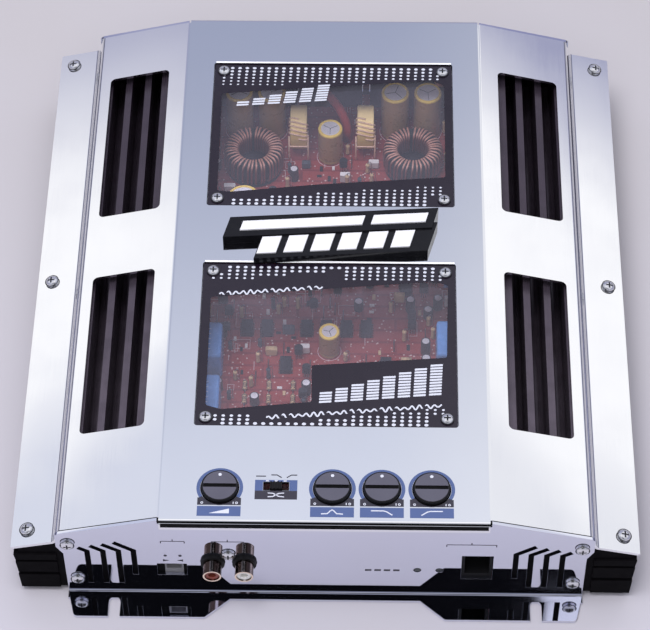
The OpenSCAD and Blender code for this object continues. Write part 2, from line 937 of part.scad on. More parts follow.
module choke_cores() {
    color("gold") for (p = choke_at) {
        translate([p[0] - choke_t / 2, p[1], choke_z]) rotate([0, 90, 0]) {
            ring(choke_r[0], choke_r[1], 0, choke_t);
        }
    }
}

// Heavy wire turns over the front of each upright core
module choke_windings() {
    gap = 0.1;
    first_turn = 150;
    turn_pitch = 15;
    depth = choke_r[1] - choke_r[0];
    color("peru") for (p = choke_at, i = [0:choke_turns - 1]) {
        translate([p[0], p[1], choke_z]) rotate([first_turn - i * turn_pitch, 0, 0]) {
            translate([0, (choke_r[0] + choke_r[1]) / 2, 0]) difference() {
                cube([choke_t + 2 * wire_t, depth + 2 * wire_t, wire_t], center = true);
                cube([choke_t + 2 * gap, depth + 2 * gap, over], center = true);
            }
        }
    }
}

module main_capacitors() {
    groove_d = 0.5;
    groove_z = [2.2, 3.1];
    rim_w = 0.8;
    rim_h = 0.4;
    color("darkgoldenrod") for (c = big_caps) translate([c[0], c[1], board_top]) difference() {
        cylinder(r = c[2], h = c[3]);
        ring(c[2] - groove_d, c[2] + 1, groove_z[0], groove_z[1]);
        translate([0, 0, c[3] - rim_h]) cylinder(r = c[2] - rim_w, h = 1);
    }
}

// Two rows of five small capacitors
module signal_capacitors() {
    starts = [[-44, -76], [-38, -92]];
    pitch = 21;
    color("#24242c") for (row = starts, i = [0:4]) {
        translate([row[0] + i * pitch, row[1], board_top]) cylinder(r = 2.6, h = 9);
    }
}

module film_capacitors() {
    lift = 0.4;
    color("royalblue") for (p = film_at) {
        translate([p[0] - film_size[0] / 2, p[1] - film_size[1] / 2, board_top + lift]) cube(film_size);
    }
}

module resistors() {
    rows = [-42, -50, -58, -66];
    first_x = -40;
    pitch = 11.5;
    lift = 1.6;
    color("wheat") for (row = rows, i = [0:7]) {
        translate([first_x + i * pitch, row, board_top + lift]) rotate([90, 0, 0]) {
            cylinder(r = 1.2, h = 5, center = true);
        }
    }
}

module signal_chips() {
    size = [6.4, 10, 3.6];
    first = [-46, -106];
    pitch = 17.6;
    lift = 0.4;
    color("#1c1c20") for (i = [0:5]) {
        translate([first[0] + i * pitch, first[1], board_top + lift]) cube(size);
    }
}

// ---- Power stage on the heat sinks' inner walls ----

function part_y(i) = (i - (part_count - 1) / 2) * part_pitch;
clamp_screw_ys = [for (i = [0:part_count - 2]) (part_y(i) + part_y(i + 1)) / 2];
clamp_screw_z = part_z + clamp_rise;
pad_x = sink_x[0] - pad_t;
part_x = pad_x - part_size[0];

module power_transistors() {
    color("#1c1c20") at_both_sides() for (i = [0:part_count - 1]) {
        translate([part_x, part_y(i) - part_size[1] / 2, part_z]) cube(part_size);
    }
}

module insulator_strips() {
    half_l = part_y(part_count - 1) + clamp_over;
    color("lightgray") at_both_sides() difference() {
        block([pad_x, -half_l, part_z - 1], [sink_x[0], half_l, part_z + part_size[2] + 1]);
        clamp_holes();
    }
}

module clamp_holes() {
    for (y = clamp_screw_ys) {
        translate([part_x - over / 2, y, clamp_screw_z]) rotate([0, 90, 0]) {
            cylinder(r = m3[0] + screw_gap, h = over);
        }
    }
}

module transistor_clamps() {
    half_l = part_y(part_count - 1) + clamp_over;
    low = clamp_screw_z - clamp_h / 2;
    color("gray") at_both_sides() difference() {
        block([part_x - clamp_t, -half_l, low], [part_x, half_l, low + clamp_h]);
        clamp_holes();
    }
}

module clamp_screws() {
    color("silver") at_both_sides() for (y = clamp_screw_ys) {
        translate([part_x - clamp_t, y, clamp_screw_z]) rotate([0, -90, 0]) {
            pan_screw([m3[0], clamp_screw_l, m3[2], m3[3]]);
        }
    }
}

// ---- Front sockets ----

module at_each_rca() {
    for (s = [-1, 1]) {
        translate([rca_x + s * rca_pitch / 2, 0, rca_z]) rotate([-90, 0, 0]) children();
    }
}

module rca_block() {
    ring_l = 10;
    bore_r = rca_d / 2 - 0.15;
    screw_l = 9.2;
    color("#161618") difference() {
        union() {
            block(rca_box[0], rca_box[1]);
            at_each_rca() translate([0, 0, -rca_ring_y]) cylinder(r = rca_ring_r, h = ring_l);
        }
        at_each_rca() translate([0, 0, -rca_bore_y - over]) cylinder(r = bore_r, h = over);
        hole_y(rca_x, rca_screw_z, m3[0] + screw_gap, rca_box[0][1] - 1, rca_box[0][1] + screw_l);
    }
}

module rca_shells() {
    rca_foot_y = 139.5;
    neck_r = rca_d / 2 - 0.2;
    color("gold") at_each_rca() translate([0, 0, -rca_tip_y]) difference() {
        union() {
            cylinder(r = rca_d / 2, h = rca_tip_y - rca_ring_y);
            cylinder(r = neck_r, h = rca_tip_y - rca_foot_y);
        }
        translate([0, 0, -1]) cylinder(r = rca_d / 2 - rca_wall, h = over);
    }
}

module rca_insert(side) {
    r = rca_d / 2 - rca_wall - 0.05;
    sunk = 0.6;
    l = 16;
    pin_l = 10;
    translate([rca_x + side * rca_pitch / 2, -rca_tip_y + sunk, rca_z]) rotate([-90, 0, 0]) {
        difference() {
            cylinder(r = r, h = l);
            translate([0, 0, -1]) cylinder(r = rca_pin_r, h = pin_l + 1);
        }
    }
}

module rca_insert_red() {
    color("orangered") rca_insert(-1);
}

module rca_insert_white() {
    color("white") rca_insert(1);
}

module high_input_socket() {
    x = (high_box[0][0] + high_box[1][0]) / 2;
    z = 20.6;
    depth = 8;
    pins = 4;
    pin_pitch = 1.5;
    pin_w = 0.6;
    pin_l = 3.5;
    color("whitesmoke") {
        difference() {
            block(high_box[0], high_box[1]);
            translate([x - high_cavity[0] / 2, high_box[0][1] - 1, z - high_cavity[1] / 2]) {
                cube([high_cavity[0], depth + 1, high_cavity[1]]);
            }
        }
        for (i = [0:pins - 1]) {
            pin_x = x + (i - (pins - 1) / 2) * pin_pitch;
            translate([pin_x - pin_w / 2, high_box[0][1] + depth - pin_l, z - pin_w / 2]) {
                cube([pin_w, pin_l + 0.1, pin_w]);
            }
        }
    }
}

module remote_jack() {
    x = (jack_box[0][0] + jack_box[1][0]) / 2;
    z = 23.8;
    depth = 13;
    contacts = 6;
    contact_pitch = 1.2;
    contact_size = [0.4, 5, 1.6];
    contact_y = 8.5;
    contact_rise = 6;
    color("#101012") {
        difference() {
            block(jack_box[0], jack_box[1]);
            translate([x - jack_cavity[0] / 2, jack_box[0][1] - 1, z - jack_cavity[1] / 2]) {
                cube([jack_cavity[0], depth + 1, jack_cavity[1]]);
            }
        }
        for (i = [0:contacts - 1]) {
            contact_x = x + (i - (contacts - 1) / 2) * contact_pitch - contact_size[0] / 2;
            translate([contact_x, jack_box[0][1] + contact_y, z + contact_rise]) cube(contact_size);
        }
    }
}

module indicator_lamps() {
    back_y = -144;
    collar_y = [-148, -147];
    wire_x = 0.8;
    wire_w = 0.5;
    wire_y = [-144.6, -144.1];
    color("darkslategray") for (x = lamp_x) {
        hole_y(x, lamp_z, lamp_r, -panel_out_y + 0.2, back_y);
        hole_y(x, lamp_z, lamp_r + 0.5, collar_y[0], collar_y[1]);
        for (s = [-wire_x, wire_x]) {
            block([x + s - wire_w / 2, wire_y[0], board_top], [x + s + wire_w / 2, wire_y[1], lamp_z]);
        }
    }
}

// ---- Rear terminals, fuses and the lead between them and the board ----

// Row of separate terminal segments, each with a wire entry and a hole for its screw
module terminal_row(xs, pitch, r) {
    half_w = (pitch - segment_gap) / 2;
    color("#18181a") for (x = xs) difference() {
        block([x - half_w, terminal_foot_y, board_top], [x + half_w, terminal_y, terminal_top]);
        hole_y(x, terminal_bore_z, r, terminal_y - terminal_bore_l, terminal_y + 1);
        hole_z(x, terminal_screw_y, terminal_shaft_r + screw_gap, terminal_bore_z, terminal_top);
        hole_z(
            x, terminal_screw_y, terminal_head[0] + screw_gap,
            terminal_head_z - screw_gap, terminal_top + 1
        );
    }
}

module power_block() {
    terminal_row(power_x, power_pitch, power_bore_d / 2);
}

module speaker_block() {
    terminal_row(speaker_x, speaker_pitch, speaker_bore_d / 2);
}

module terminal_screws() {
    slot = [4, 0.8, 0.9];
    top = terminal_head_z + terminal_head[1];
    color("gold") for (x = concat(power_x, speaker_x)) {
        translate([x, terminal_screw_y, 0]) difference() {
            union() {
                hole_z(0, 0, terminal_head[0], terminal_head_z, top);
                hole_z(0, 0, terminal_shaft_r, terminal_tip_z, terminal_head_z + eps);
            }
            translate([-slot[0] / 2, -slot[1] / 2, top - slot[2]]) cube([slot[0], slot[1], over]);
        }
    }
}

module fuse_holder() {
    gap = 0.15;
    color("#18181a") difference() {
        block([fuse_box_x[0], terminal_foot_y, board_top], [fuse_box_x[1], fuse_box_y, terminal_top]);
        for (x = fuse_x) {
            block(
                [x - fuse_size[0] / 2 - gap, fuse_y - gap, fuse_low_z - gap],
                [x + fuse_size[0] / 2 + gap, fuse_box_y + 1, fuse_low_z + fuse_size[2] + gap]
            );
        }
    }
}

// Each fuse has a grip cut into both sides of its outer end
module fuses() {
    grip_d = 0.8;
    grip_l = 2;
    grip_z = 4;
    color("deepskyblue") for (x = fuse_x) {
        translate([x - fuse_size[0] / 2, fuse_y, fuse_low_z]) difference() {
            cube(fuse_size);
            for (side = [-1, fuse_size[0] - grip_d]) {
                translate([side, fuse_size[1] - grip_l, grip_z]) {
                    cube([grip_d + 1, grip_l + 1, fuse_size[2] - 2 * grip_z]);
                }
            }
        }
    }
}

// Internal supply lead: up from the board, over a bend and back to the power terminals
module power_lead() {
    bend_z = board_top + lead_riser;
    color("firebrick") translate([lead_foot[0], lead_foot[1], 0]) rotate([0, 0, lead_turn]) {
        translate([0, 0, board_top]) cylinder(r = lead_r, h = bend_z - board_top + eps);
        translate([0, lead_bend_r, bend_z]) rotate([0, -90, 0]) rotate([0, 0, -90]) {
            rotate_extrude(angle = 90) translate([lead_bend_r, 0]) circle(r = lead_r);
        }
        translate([0, lead_bend_r - eps, bend_z + lead_bend_r]) rotate([-90, 0, 0]) {
            cylinder(r = lead_r, h = lead_run);
        }
    }
}

// ---- Outer screws ----

module cover_screws() {
    color("silver") for (y = cover_screw_y) at_both_sides() place_on_flange(y) pan_screw(m3);
}

module panel_screws() {
    color("silver") {
        for (p = panel_screw_at, side = [0, 1]) {
            mirror([0, side, 0]) at_both_sides() {
                translate([p[0], panel_out_y, p[1]]) rotate([-90, 0, 0]) pan_screw(m3);
            }
        }
        translate([rca_x, -panel_out_y, rca_screw_z]) rotate([90, 0, 0]) pan_screw(m3);
    }
}

module bottom_screws() {
    face_z = 0.05;
    shaft_l = 7.9;
    recess = [3.2, 0.7, 0.8];
    color("silver") for (x = [-bottom_screw_x, bottom_screw_x], y = bottom_screw_y) {
        translate([x, y, face_z]) difference() {
            union() {
                cylinder(r1 = sunk_head[0], r2 = sunk_head[1], h = sunk_head[2]);
                translate([0, 0, sunk_head[2] / 2]) cylinder(r = m3[0], h = shaft_l);
            }
            for (a = [0, 90]) rotate([0, 0, a]) {
                translate([-recess[0] / 2, -recess[1] / 2, -1]) {
                    cube([recess[0], recess[1], recess[2] + 1]);
                }
            }
        }
    }
}

top_cover();
front_panel();
rear_panel();
bottom_plate();
heatsink_left();
heatsink_right();
end_caps_front();
end_caps_rear();
window_rear();
window_front();
window_frames();
window_screws();
badge_plate();
badge_inlay();
knob_level();
knob_bass();
knob_low_pass();
knob_high_pass();
shaft_level();
shaft_bass();
shaft_low_pass();
shaft_high_pass();
pot_bodies();
switch_body();
switch_slider();
control_board();
main_board();
standoffs();
board_screws();
toroid_cores();
toroid_windings();
choke_cores();
choke_windings();
main_capacitors();
signal_capacitors();
film_capacitors();
resistors();
signal_chips();
power_transistors();
transistor_clamps();
insulator_strips();
clamp_screws();
rca_block();
rca_shells();
rca_insert_red();
rca_insert_white();
high_input_socket();
remote_jack();
indicator_lamps();
power_lead();
power_block();
speaker_block();
terminal_screws();
fuse_holder();
fuses();
cover_screws();
panel_screws();
bottom_screws();
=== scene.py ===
"""Looks of the car amplifier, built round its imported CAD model. Lengths are in millimetres and are turned
into metres where a mesh is made. Only the camera, the lights and the floor are placed in metres."""
import math
import random

import bmesh
import bpy
from mathutils import Matrix, Vector
from mathutils.geometry import tessellate_polygon
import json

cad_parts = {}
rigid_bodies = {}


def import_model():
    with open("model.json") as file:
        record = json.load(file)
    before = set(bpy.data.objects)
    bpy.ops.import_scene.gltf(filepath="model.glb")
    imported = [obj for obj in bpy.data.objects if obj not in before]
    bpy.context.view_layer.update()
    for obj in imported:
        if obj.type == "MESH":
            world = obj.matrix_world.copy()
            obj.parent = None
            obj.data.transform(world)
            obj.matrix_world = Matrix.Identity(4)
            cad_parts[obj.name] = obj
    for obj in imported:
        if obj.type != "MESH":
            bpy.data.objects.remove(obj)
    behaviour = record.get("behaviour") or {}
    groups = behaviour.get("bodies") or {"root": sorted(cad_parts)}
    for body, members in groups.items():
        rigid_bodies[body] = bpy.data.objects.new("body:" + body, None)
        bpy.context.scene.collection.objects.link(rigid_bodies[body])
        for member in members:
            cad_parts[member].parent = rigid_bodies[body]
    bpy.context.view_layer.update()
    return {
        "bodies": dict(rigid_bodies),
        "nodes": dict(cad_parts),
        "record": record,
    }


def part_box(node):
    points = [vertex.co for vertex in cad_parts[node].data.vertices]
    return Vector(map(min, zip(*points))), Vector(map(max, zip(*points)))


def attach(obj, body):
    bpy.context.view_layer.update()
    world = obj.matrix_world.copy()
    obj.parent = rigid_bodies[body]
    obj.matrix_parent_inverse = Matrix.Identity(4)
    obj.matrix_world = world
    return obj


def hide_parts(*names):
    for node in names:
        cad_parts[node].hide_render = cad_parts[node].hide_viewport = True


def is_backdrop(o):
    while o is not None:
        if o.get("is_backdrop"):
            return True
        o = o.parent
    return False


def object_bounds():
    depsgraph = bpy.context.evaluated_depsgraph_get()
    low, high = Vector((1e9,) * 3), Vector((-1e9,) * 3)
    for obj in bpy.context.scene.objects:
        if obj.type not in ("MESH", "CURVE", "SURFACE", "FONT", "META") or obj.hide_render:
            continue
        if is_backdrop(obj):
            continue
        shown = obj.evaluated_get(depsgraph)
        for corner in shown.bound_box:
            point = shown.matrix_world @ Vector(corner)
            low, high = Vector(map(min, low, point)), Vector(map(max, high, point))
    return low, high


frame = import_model()
MM = 0.001
scene = bpy.context.scene
nodes = frame["nodes"]
slot_of = {part["node"]: part["material_slot"] for part in frame["record"]["subparts"]}
materials = {}


def cad(name):
    """Lowest and highest corner of a CAD node in millimetres."""
    low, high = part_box(name)
    return low / MM, high / MM


def new_object(name, data):
    """An object linked into the scene."""
    obj = bpy.data.objects.new(name, data)
    scene.collection.objects.link(obj)
    return obj


# ---- camera ----
# Place in metres, and turns: to the right, downwards and anticlockwise
CAMERA_PLACE = (0.0165, -0.7705, 1.0138)
YAW, PITCH, ROLL = (math.radians(turn) for turn in (-1.41, 52.43, -0.58))
FOCAL_LENGTH = 144.05
SENSOR_WIDTH = 36
scene.view_settings.view_transform = "Standard"
camera_data = bpy.data.cameras.new("camera")
camera = new_object("camera", camera_data)
scene.camera = camera
camera_data.sensor_width = SENSOR_WIDTH
camera_data.lens = FOCAL_LENGTH
camera_data.clip_start, camera_data.clip_end = 0.05, 20
forward = Vector((math.sin(YAW) * math.cos(PITCH), math.cos(YAW) * math.cos(PITCH), -math.sin(PITCH)))
level = Vector((math.cos(YAW), -math.sin(YAW), 0))
up = level.cross(forward)
right = level * math.cos(ROLL) + up * math.sin(ROLL)
above = up * math.cos(ROLL) - level * math.sin(ROLL)
rows = [(right[k], above[k], -forward[k], CAMERA_PLACE[k]) for k in range(3)]
camera.matrix_world = Matrix((*rows, (0, 0, 0, 1)))


# ---- node helpers ----
class Graph:
    """Short names for making shader nodes in one node tree."""

    def __init__(self, tree):
        self.tree = tree

    def add(self, kind, *links, **values):
        node = self.tree.nodes.new(kind)
        for key, value in values.items():
            setattr(node, key, value)
        for i, source in enumerate(links):
            if source is not None:
                self.feed(node, i, source)
        return node

    def feed(self, node, socket, source):
        """Links an input of a node or sets its value, where a tuple of three is a colour."""
        if isinstance(source, bpy.types.NodeSocket):
            self.tree.links.new(source, node.inputs[socket])
        elif isinstance(source, tuple) and len(source) == 3:
            node.inputs[socket].default_value = (*source, 1)
        else:
            node.inputs[socket].default_value = source

    def math(self, operation, *links):
        return self.add("ShaderNodeMath", *links, operation=operation).outputs[0]

    def span(self, value, low, high, start=0.0, end=1.0):
        """Smooth step of value, from start at low to end at high."""
        edges = (value, low, high, start, end)
        return self.add("ShaderNodeMapRange", *edges, interpolation_type="SMOOTHSTEP").outputs[0]

    def mix(self, factor, a, b):
        node = self.add("ShaderNodeMix", data_type="RGBA")
        for i, source in ((0, factor), (6, a), (7, b)):
            self.feed(node, i, source)
        return node.outputs[2]

    def ramp(self, value, *stops):
        """Colour that changes evenly between stops of (place, colour)."""
        node = self.add("ShaderNodeValToRGB", value)
        elements = node.color_ramp.elements
        while len(elements) < len(stops):
            elements.new(0.5)
        for element, (place, colour) in zip(elements, stops):
            element.position = place
            element.color = (*colour, 1)
        return node.outputs[0]


class Material(Graph):
    """A named Principled material that is read in object space, so that patterns have a real size."""

    def __init__(self, name, colour, rough, metal=0.0, **sockets):
        self.material = bpy.data.materials.new(name)
        self.material.use_nodes = True
        materials[name] = self.material
        super().__init__(self.material.node_tree)
        self.shader = self.tree.nodes["Principled BSDF"]
        self.set("Base Color", colour)
        self.set("Roughness", rough)
        self.set("Metallic", metal)
        for key, value in sockets.items():
            self.set(key.replace("_", " "), value)
        self.place = self.add("ShaderNodeTexCoord").outputs["Object"]

    def set(self, socket, value):
        self.feed(self.shader, socket, value)

    def grain(self, size, detail, stretch=(1, 1, 1)):
        """Noise whose features are about size millimetres, longer along an axis with a large stretch."""
        scale = [1000 / size / s for s in stretch]
        mapped = self.add("ShaderNodeMapping", self.place, None, None, scale).outputs[0]
        return self.add("ShaderNodeTexNoise", mapped, None, 1.0, detail).outputs[0]

    def lengthways(self):
        """The place along Y, in metres."""
        return self.add("ShaderNodeSeparateXYZ", self.place).outputs[1]

    def directions(self):
        """How far the surface faces along X, Y and Z."""
        normal = self.add("ShaderNodeTexCoord").outputs["Normal"]
        return self.add("ShaderNodeSeparateXYZ", normal).outputs

    def bump(self, height, depth, strength=1.0, under=None):
        """Bump of depth millimetres where height goes from 0 to 1."""
        node = self.add("ShaderNodeBump", strength, depth * MM)
        self.feed(node, "Height", height)
        if under is not None:
            self.feed(node, "Normal", under)
        self.set("Normal", node.outputs[0])
        return node.outputs[0]

    def vary(self, colour, other, factor):
        """Colour that goes from one to the other as factor goes from 0 to 1."""
        self.set("Base Color", self.mix(factor, colour, other))

    def vary_rough(self, factor, low, high):
        """Roughness between low and high, from a noise as the factor."""
        self.set("Roughness", self.span(factor, 0.3, 0.7, low, high))


# ---- surroundings ----
# The sky is a studio seen by direction: height and bearing are in degrees, and bearing is 0 along +Y
DEGREES = math.degrees(1)
world = bpy.data.worlds.new("studio")
scene.world = world
world.use_nodes = True
sky = Graph(world.node_tree)
direction = sky.add("ShaderNodeSeparateXYZ", sky.add("ShaderNodeTexCoord").outputs["Generated"])
dx, dy, dz = direction.outputs
height = sky.math("MULTIPLY", sky.math("ARCSINE", dz), DEGREES)
bearing = sky.math("MULTIPLY", sky.math("ARCTAN2", dx, dy), DEGREES)
side = sky.math("ABSOLUTE", bearing)
blue_far, blue_near, white = (0.35, 0.385, 0.53), (0.74, 0.775, 0.90), (1.02, 1.02, 1.02)
back = sky.mix(sky.span(height, 45, 59), blue_far, blue_near)
glow = sky.math("MULTIPLY", sky.span(bearing, 0, 5.5), sky.span(height, 44.5, 51.5, 0.12, 0.26))
back = sky.mix(glow, back, white)
low_back = sky.mix(sky.span(height, -5, 34), (0.42, 0.42, 0.47), (0.345, 0.355, 0.52))
back = sky.mix(sky.span(height, 38, 45), low_back, back)


def card(shade, colour, turn, edges, rise):
    """Lays a soft-edged card over the sky. Its edges along turn, which is the bearing or its size, and its
    rise along the height are (start, full, end, gone) in degrees."""
    amount = 1.0
    for value, (start, full, end, gone) in ((turn, edges), (height, rise)):
        inside = sky.math("MULTIPLY", sky.span(value, start, full), sky.span(value, end, gone, 1.0, 0.0))
        amount = sky.math("MULTIPLY", amount, inside)
    return sky.mix(amount, shade, colour)


# White and grey cards at the far side, seen in the sloping wings
whole = card(back, (1.06, 1.06, 1.08), bearing, (-90, -70, -37, -28), (33.5, 38.0, 40.6, 42.2))
whole = card(whole, (1.06, 1.06, 1.08), bearing, (22, 28, 70, 90), (36.3, 39.2, 42.4, 44.2))
whole = card(whole, (0.71, 0.74, 0.86), bearing, (-90, -70, -31, -24), (40.4, 42.2, 55, 62))
whole = card(whole, (0.87, 0.88, 0.93), bearing, (5, 12, 70, 90), (42.4, 44.2, 55, 62))
# White above, and a grey room at the sides and behind
whole = sky.mix(sky.span(height, 62, 72), whole, (1.0, 1.0, 1.04))
whole = sky.mix(sky.span(side, 95, 130), whole, (0.48, 0.49, 0.56))
# Dark cards: low at both sides, and behind the camera, with a narrow white one let into it
whole = card(whole, (0.03, 0.025, 0.035), side, (35, 39, 56, 64), (17, 20, 26, 29))
whole = card(whole, (0.004, 0.004, 0.005), side, (135, 152, 400, 500), (24, 34, 68, 78))
whole = card(whole, (0.95, 0.95, 1.0), bearing, (162, 168, 172.2, 172.6), (58.25, 58.45, 64, 67))
background = sky.tree.nodes["Background"]
sky.tree.links.new(whole, background.inputs["Color"])
background.inputs["Strength"].default_value = 1.0


def area_light(name, place, target, size, power, colour):
    """A soft light that no mirror shows."""
    data = bpy.data.lights.new(name, "AREA")
    data.shape = "RECTANGLE"
    data.size, data.size_y = size
    data.energy = power
    data.color = colour
    light = new_object(name, data)
    light.location = place
    aim = Vector(target) - Vector(place)
    light.rotation_euler = aim.to_track_quat("-Z", "Y").to_euler()
    light.visible_glossy = False
    light.visible_camera = False


area_light("key", (-0.25, -0.35, 1.7), (0, 0.02, 0), (0.8, 0.8), 21.5, (1.0, 0.985, 1.0))
area_light("fill", (-0.1, -1.25, 1.35), (0, 0.02, 0.02), (1.2, 0.6), 7.5, (1.0, 0.99, 1.0))
area_light("rim", (0.2, 1.0, 1.7), (0, 0, 0), (1.4, 1.0), 6, (1.0, 0.98, 1.0))

FLOOR_HALF = 6.0
FLOOR_DROP = 0.0002
floor_mesh = bpy.data.meshes.new("floor")
corners = [(x * FLOOR_HALF, y * FLOOR_HALF, 0) for x, y in ((-1, -1), (1, -1), (1, 1), (-1, 1))]
floor_mesh.from_pydata(corners, [], [(0, 1, 2, 3)])
floor = new_object("floor", floor_mesh)
paper = Material("floor_paper", (0.50, 0.485, 0.53), 0.6, Specular_IOR_Level=0.2)
# Painted light: the floor is painted lighter and bluer towards the front and darker and warmer towards the
# back.
tone = paper.mix(paper.span(paper.lengthways(), -0.3, 0.35), (0.490, 0.480, 0.550), (0.448, 0.424, 0.425))
paper.vary(tone, (0.475, 0.458, 0.490), paper.grain(90, 3))
floor_mesh.materials.append(paper.material)
floor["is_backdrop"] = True
floor.location.z = -FLOOR_DROP


# ---- metals ----
def mirror_metal(name, tint, waves, low, high):
    m = Material(name, tint, 0.05, 1.0)
    polish = m.grain(0.5, 4, (1, 40, 1))
    smudge = m.grain(28, 5)
    uneven = m.math("ADD", m.math("MULTIPLY", polish, 0.35), m.math("MULTIPLY", smudge, 0.65))
    m.vary_rough(uneven, low, high)
    m.vary(tint, tuple(c * 0.965 for c in tint), smudge)
    broad = m.bump(m.grain(55, 1), waves)
    m.bump(polish, 0.0006, 0.5, broad)


def plate_steel():
    m = Material("plate_steel", (0.55, 0.55, 0.57), 0.38, 1.0)
    rolled = m.grain(0.6, 4, (30, 1, 1))
    m.vary((0.50, 0.50, 0.52), (0.62, 0.62, 0.64), rolled)
    m.vary_rough(m.grain(18, 4), 0.30, 0.46)
    m.bump(rolled, 0.01, 0.5)


def black_anodised():
    shine = dict(Specular_IOR_Level=0.62, Specular_Tint=(1.0, 0.90, 1.0))
    m = Material("black_anodised", (0.012, 0.012, 0.014), 0.3, **shine)
    drawn = m.grain(0.35, 4, (1, 60, 1))
    tone = m.mix(m.span(m.lengthways(), -0.12, 0.06), (0.075, 0.062, 0.080), (0.034, 0.026, 0.038))
    m.vary(tone, (0.012, 0.010, 0.013), m.span(m.grain(9, 4), 0.4, 0.6, 0.0, 0.25))
    m.vary_rough(drawn, 0.22, 0.40)
    m.bump(drawn, 0.008, 0.6)


def screw_chrome():
    m = Material("screw_chrome", (0.86, 0.86, 0.88), 0.12, 0.93)
    m.vary((0.86, 0.86, 0.88), (0.66, 0.66, 0.68), m.grain(1.2, 4))
    m.vary_rough(m.grain(2.5, 3), 0.10, 0.24)
    m.bump(m.grain(0.5, 2), 0.01)


def metal(name, colour, low, high):
    m = Material(name, colour, low, 1.0)
    m.vary(colour, tuple(c * 0.88 for c in colour), m.grain(1.5, 4))
    m.vary_rough(m.grain(3, 3), low, high)
    m.bump(m.grain(0.5, 3), 0.006)
    return m


def brass():
    """Gold plate with a painted reflection on its barrels, a dark room with narrow lights from side to
    side, set by which way the surface faces; it is pale at the front.
    """
    m = metal("brass", (0.86, 0.62, 0.30), 0.10, 0.22)
    across, outward, _ = m.directions()
    dark, pale = (0.11, 0.075, 0.06), (0.95, 0.86, 0.80)
    # Painted reflection: dark and bright bands round the barrel, by which way its side faces.
    painted_reflection = m.ramp(
        m.math("MULTIPLY_ADD", across, 0.5, 0.5),
        (0.0, (0.30, 0.20, 0.15)), (0.12, dark), (0.36, dark), (0.43, pale), (0.52, pale), (0.58, dark),
        (0.80, (0.07, 0.05, 0.05)), (0.88, (0.60, 0.50, 0.44)), (0.95, dark),
    )
    m.vary((0.95, 0.78, 0.62), painted_reflection, m.span(outward, -0.9, -0.45))


def copper_wire():
    m = Material("copper_wire", (0.80, 0.33, 0.21), 0.34, 0.55, Coat_Weight=0.5, Coat_Roughness=0.12)
    # Painted light: wire that faces up is painted bright copper and the sides dark, as though lit from
    # above.
    bright = m.mix(m.grain(2.2, 3), (1.0, 0.66, 0.52), (0.90, 0.40, 0.27))
    m.vary((0.26, 0.085, 0.06), bright, m.span(m.directions()[2], 0.0, 0.75))


def capacitor_gold():
    m = Material("capacitor_gold", (0.30, 0.235, 0.085), 0.3, 0.2)
    m.vary((0.41, 0.26, 0.10), (0.47, 0.31, 0.13), m.grain(0.5, 3))
    m.vary_rough(m.grain(3, 3), 0.26, 0.4)
    m.bump(m.grain(8, 0), 0.02)


mirror_metal("mirror_sheet", (0.93, 0.935, 0.955), 0.035, 0.045, 0.10)
mirror_metal("panel_sheet", (0.76, 0.775, 0.88), 0.02, 0.015, 0.04)
for make in (plate_steel, black_anodised, screw_chrome, brass, copper_wire, capacitor_gold):
    make()
metal("zinc", (0.60, 0.60, 0.61), 0.28, 0.45)
metal("aluminium_top", (0.93, 0.93, 0.95), 0.30, 0.42).set("Metallic", 0.3)
metal("bright_wire", (1.0, 0.72, 0.50), 0.22, 0.34).set("Metallic", 0.25)


# ---- plastics, prints and the board ----
def plastic(name, colour, rough, spread=0.2, grain=0.4, depth=0.008, gloss=0.5, **more):
    m = Material(name, colour, rough, Specular_IOR_Level=gloss, **more)
    other = tuple(min(1.0, c * (1 + spread) + 0.004) for c in colour)
    m.vary(tuple(c * (1 - spread / 2) for c in colour), other, m.grain(6, 4))
    m.vary_rough(m.grain(3, 3), rough * 0.85, min(1.0, rough * 1.2))
    m.bump(m.grain(grain, 3), depth)
    return m


def core_yellow():
    m = plastic("core_yellow", (0.95, 0.76, 0.30), 0.16, 0.06, grain=3, depth=0.01)
    # Painted light: the cores are painted lighter where they face up and darker on their lower sides.
    m.vary((0.62, 0.43, 0.14), (1.0, 0.80, 0.38), m.span(m.directions()[2], 0.35, 0.75))


def board_red():
    """Lacquered board with rows of tracks and round pads."""
    m = Material("board_red", (0.36, 0.05, 0.045), 0.35, Coat_Weight=0.4, Coat_Roughness=0.2)
    cells = m.add("ShaderNodeMapping", m.place, None, None, [1 / MM] * 3).outputs[0]
    ends = (1, 1, 1, 1), (0.55, 0.55, 0.55, 1), (0, 0, 0, 1)
    tracks = m.add("ShaderNodeTexBrick", cells, *ends, 0.22, 0.16, 0.2)
    tracks.inputs["Brick Width"].default_value = 7.0
    tracks.inputs["Row Height"].default_value = 1.6
    holes = m.add("ShaderNodeTexVoronoi", cells, None, 0.42, feature="F1")
    pads = m.math("LESS_THAN", holes.outputs["Distance"], 0.2)
    copper = m.mix(tracks.outputs["Fac"], (0.33, 0.056, 0.046), (0.235, 0.032, 0.030))
    m.vary(copper, (0.66, 0.50, 0.46), pads)
    m.bump(tracks.outputs["Fac"], 0.04, 0.7)


def fuse_blue():
    m = Material("fuse_blue", (0.10, 0.40, 0.70), 0.12, Transmission_Weight=0.35)
    m.vary((0.08, 0.38, 0.68), (0.14, 0.46, 0.76), m.grain(5, 2))
    m.bump(m.grain(3, 2), 0.02)


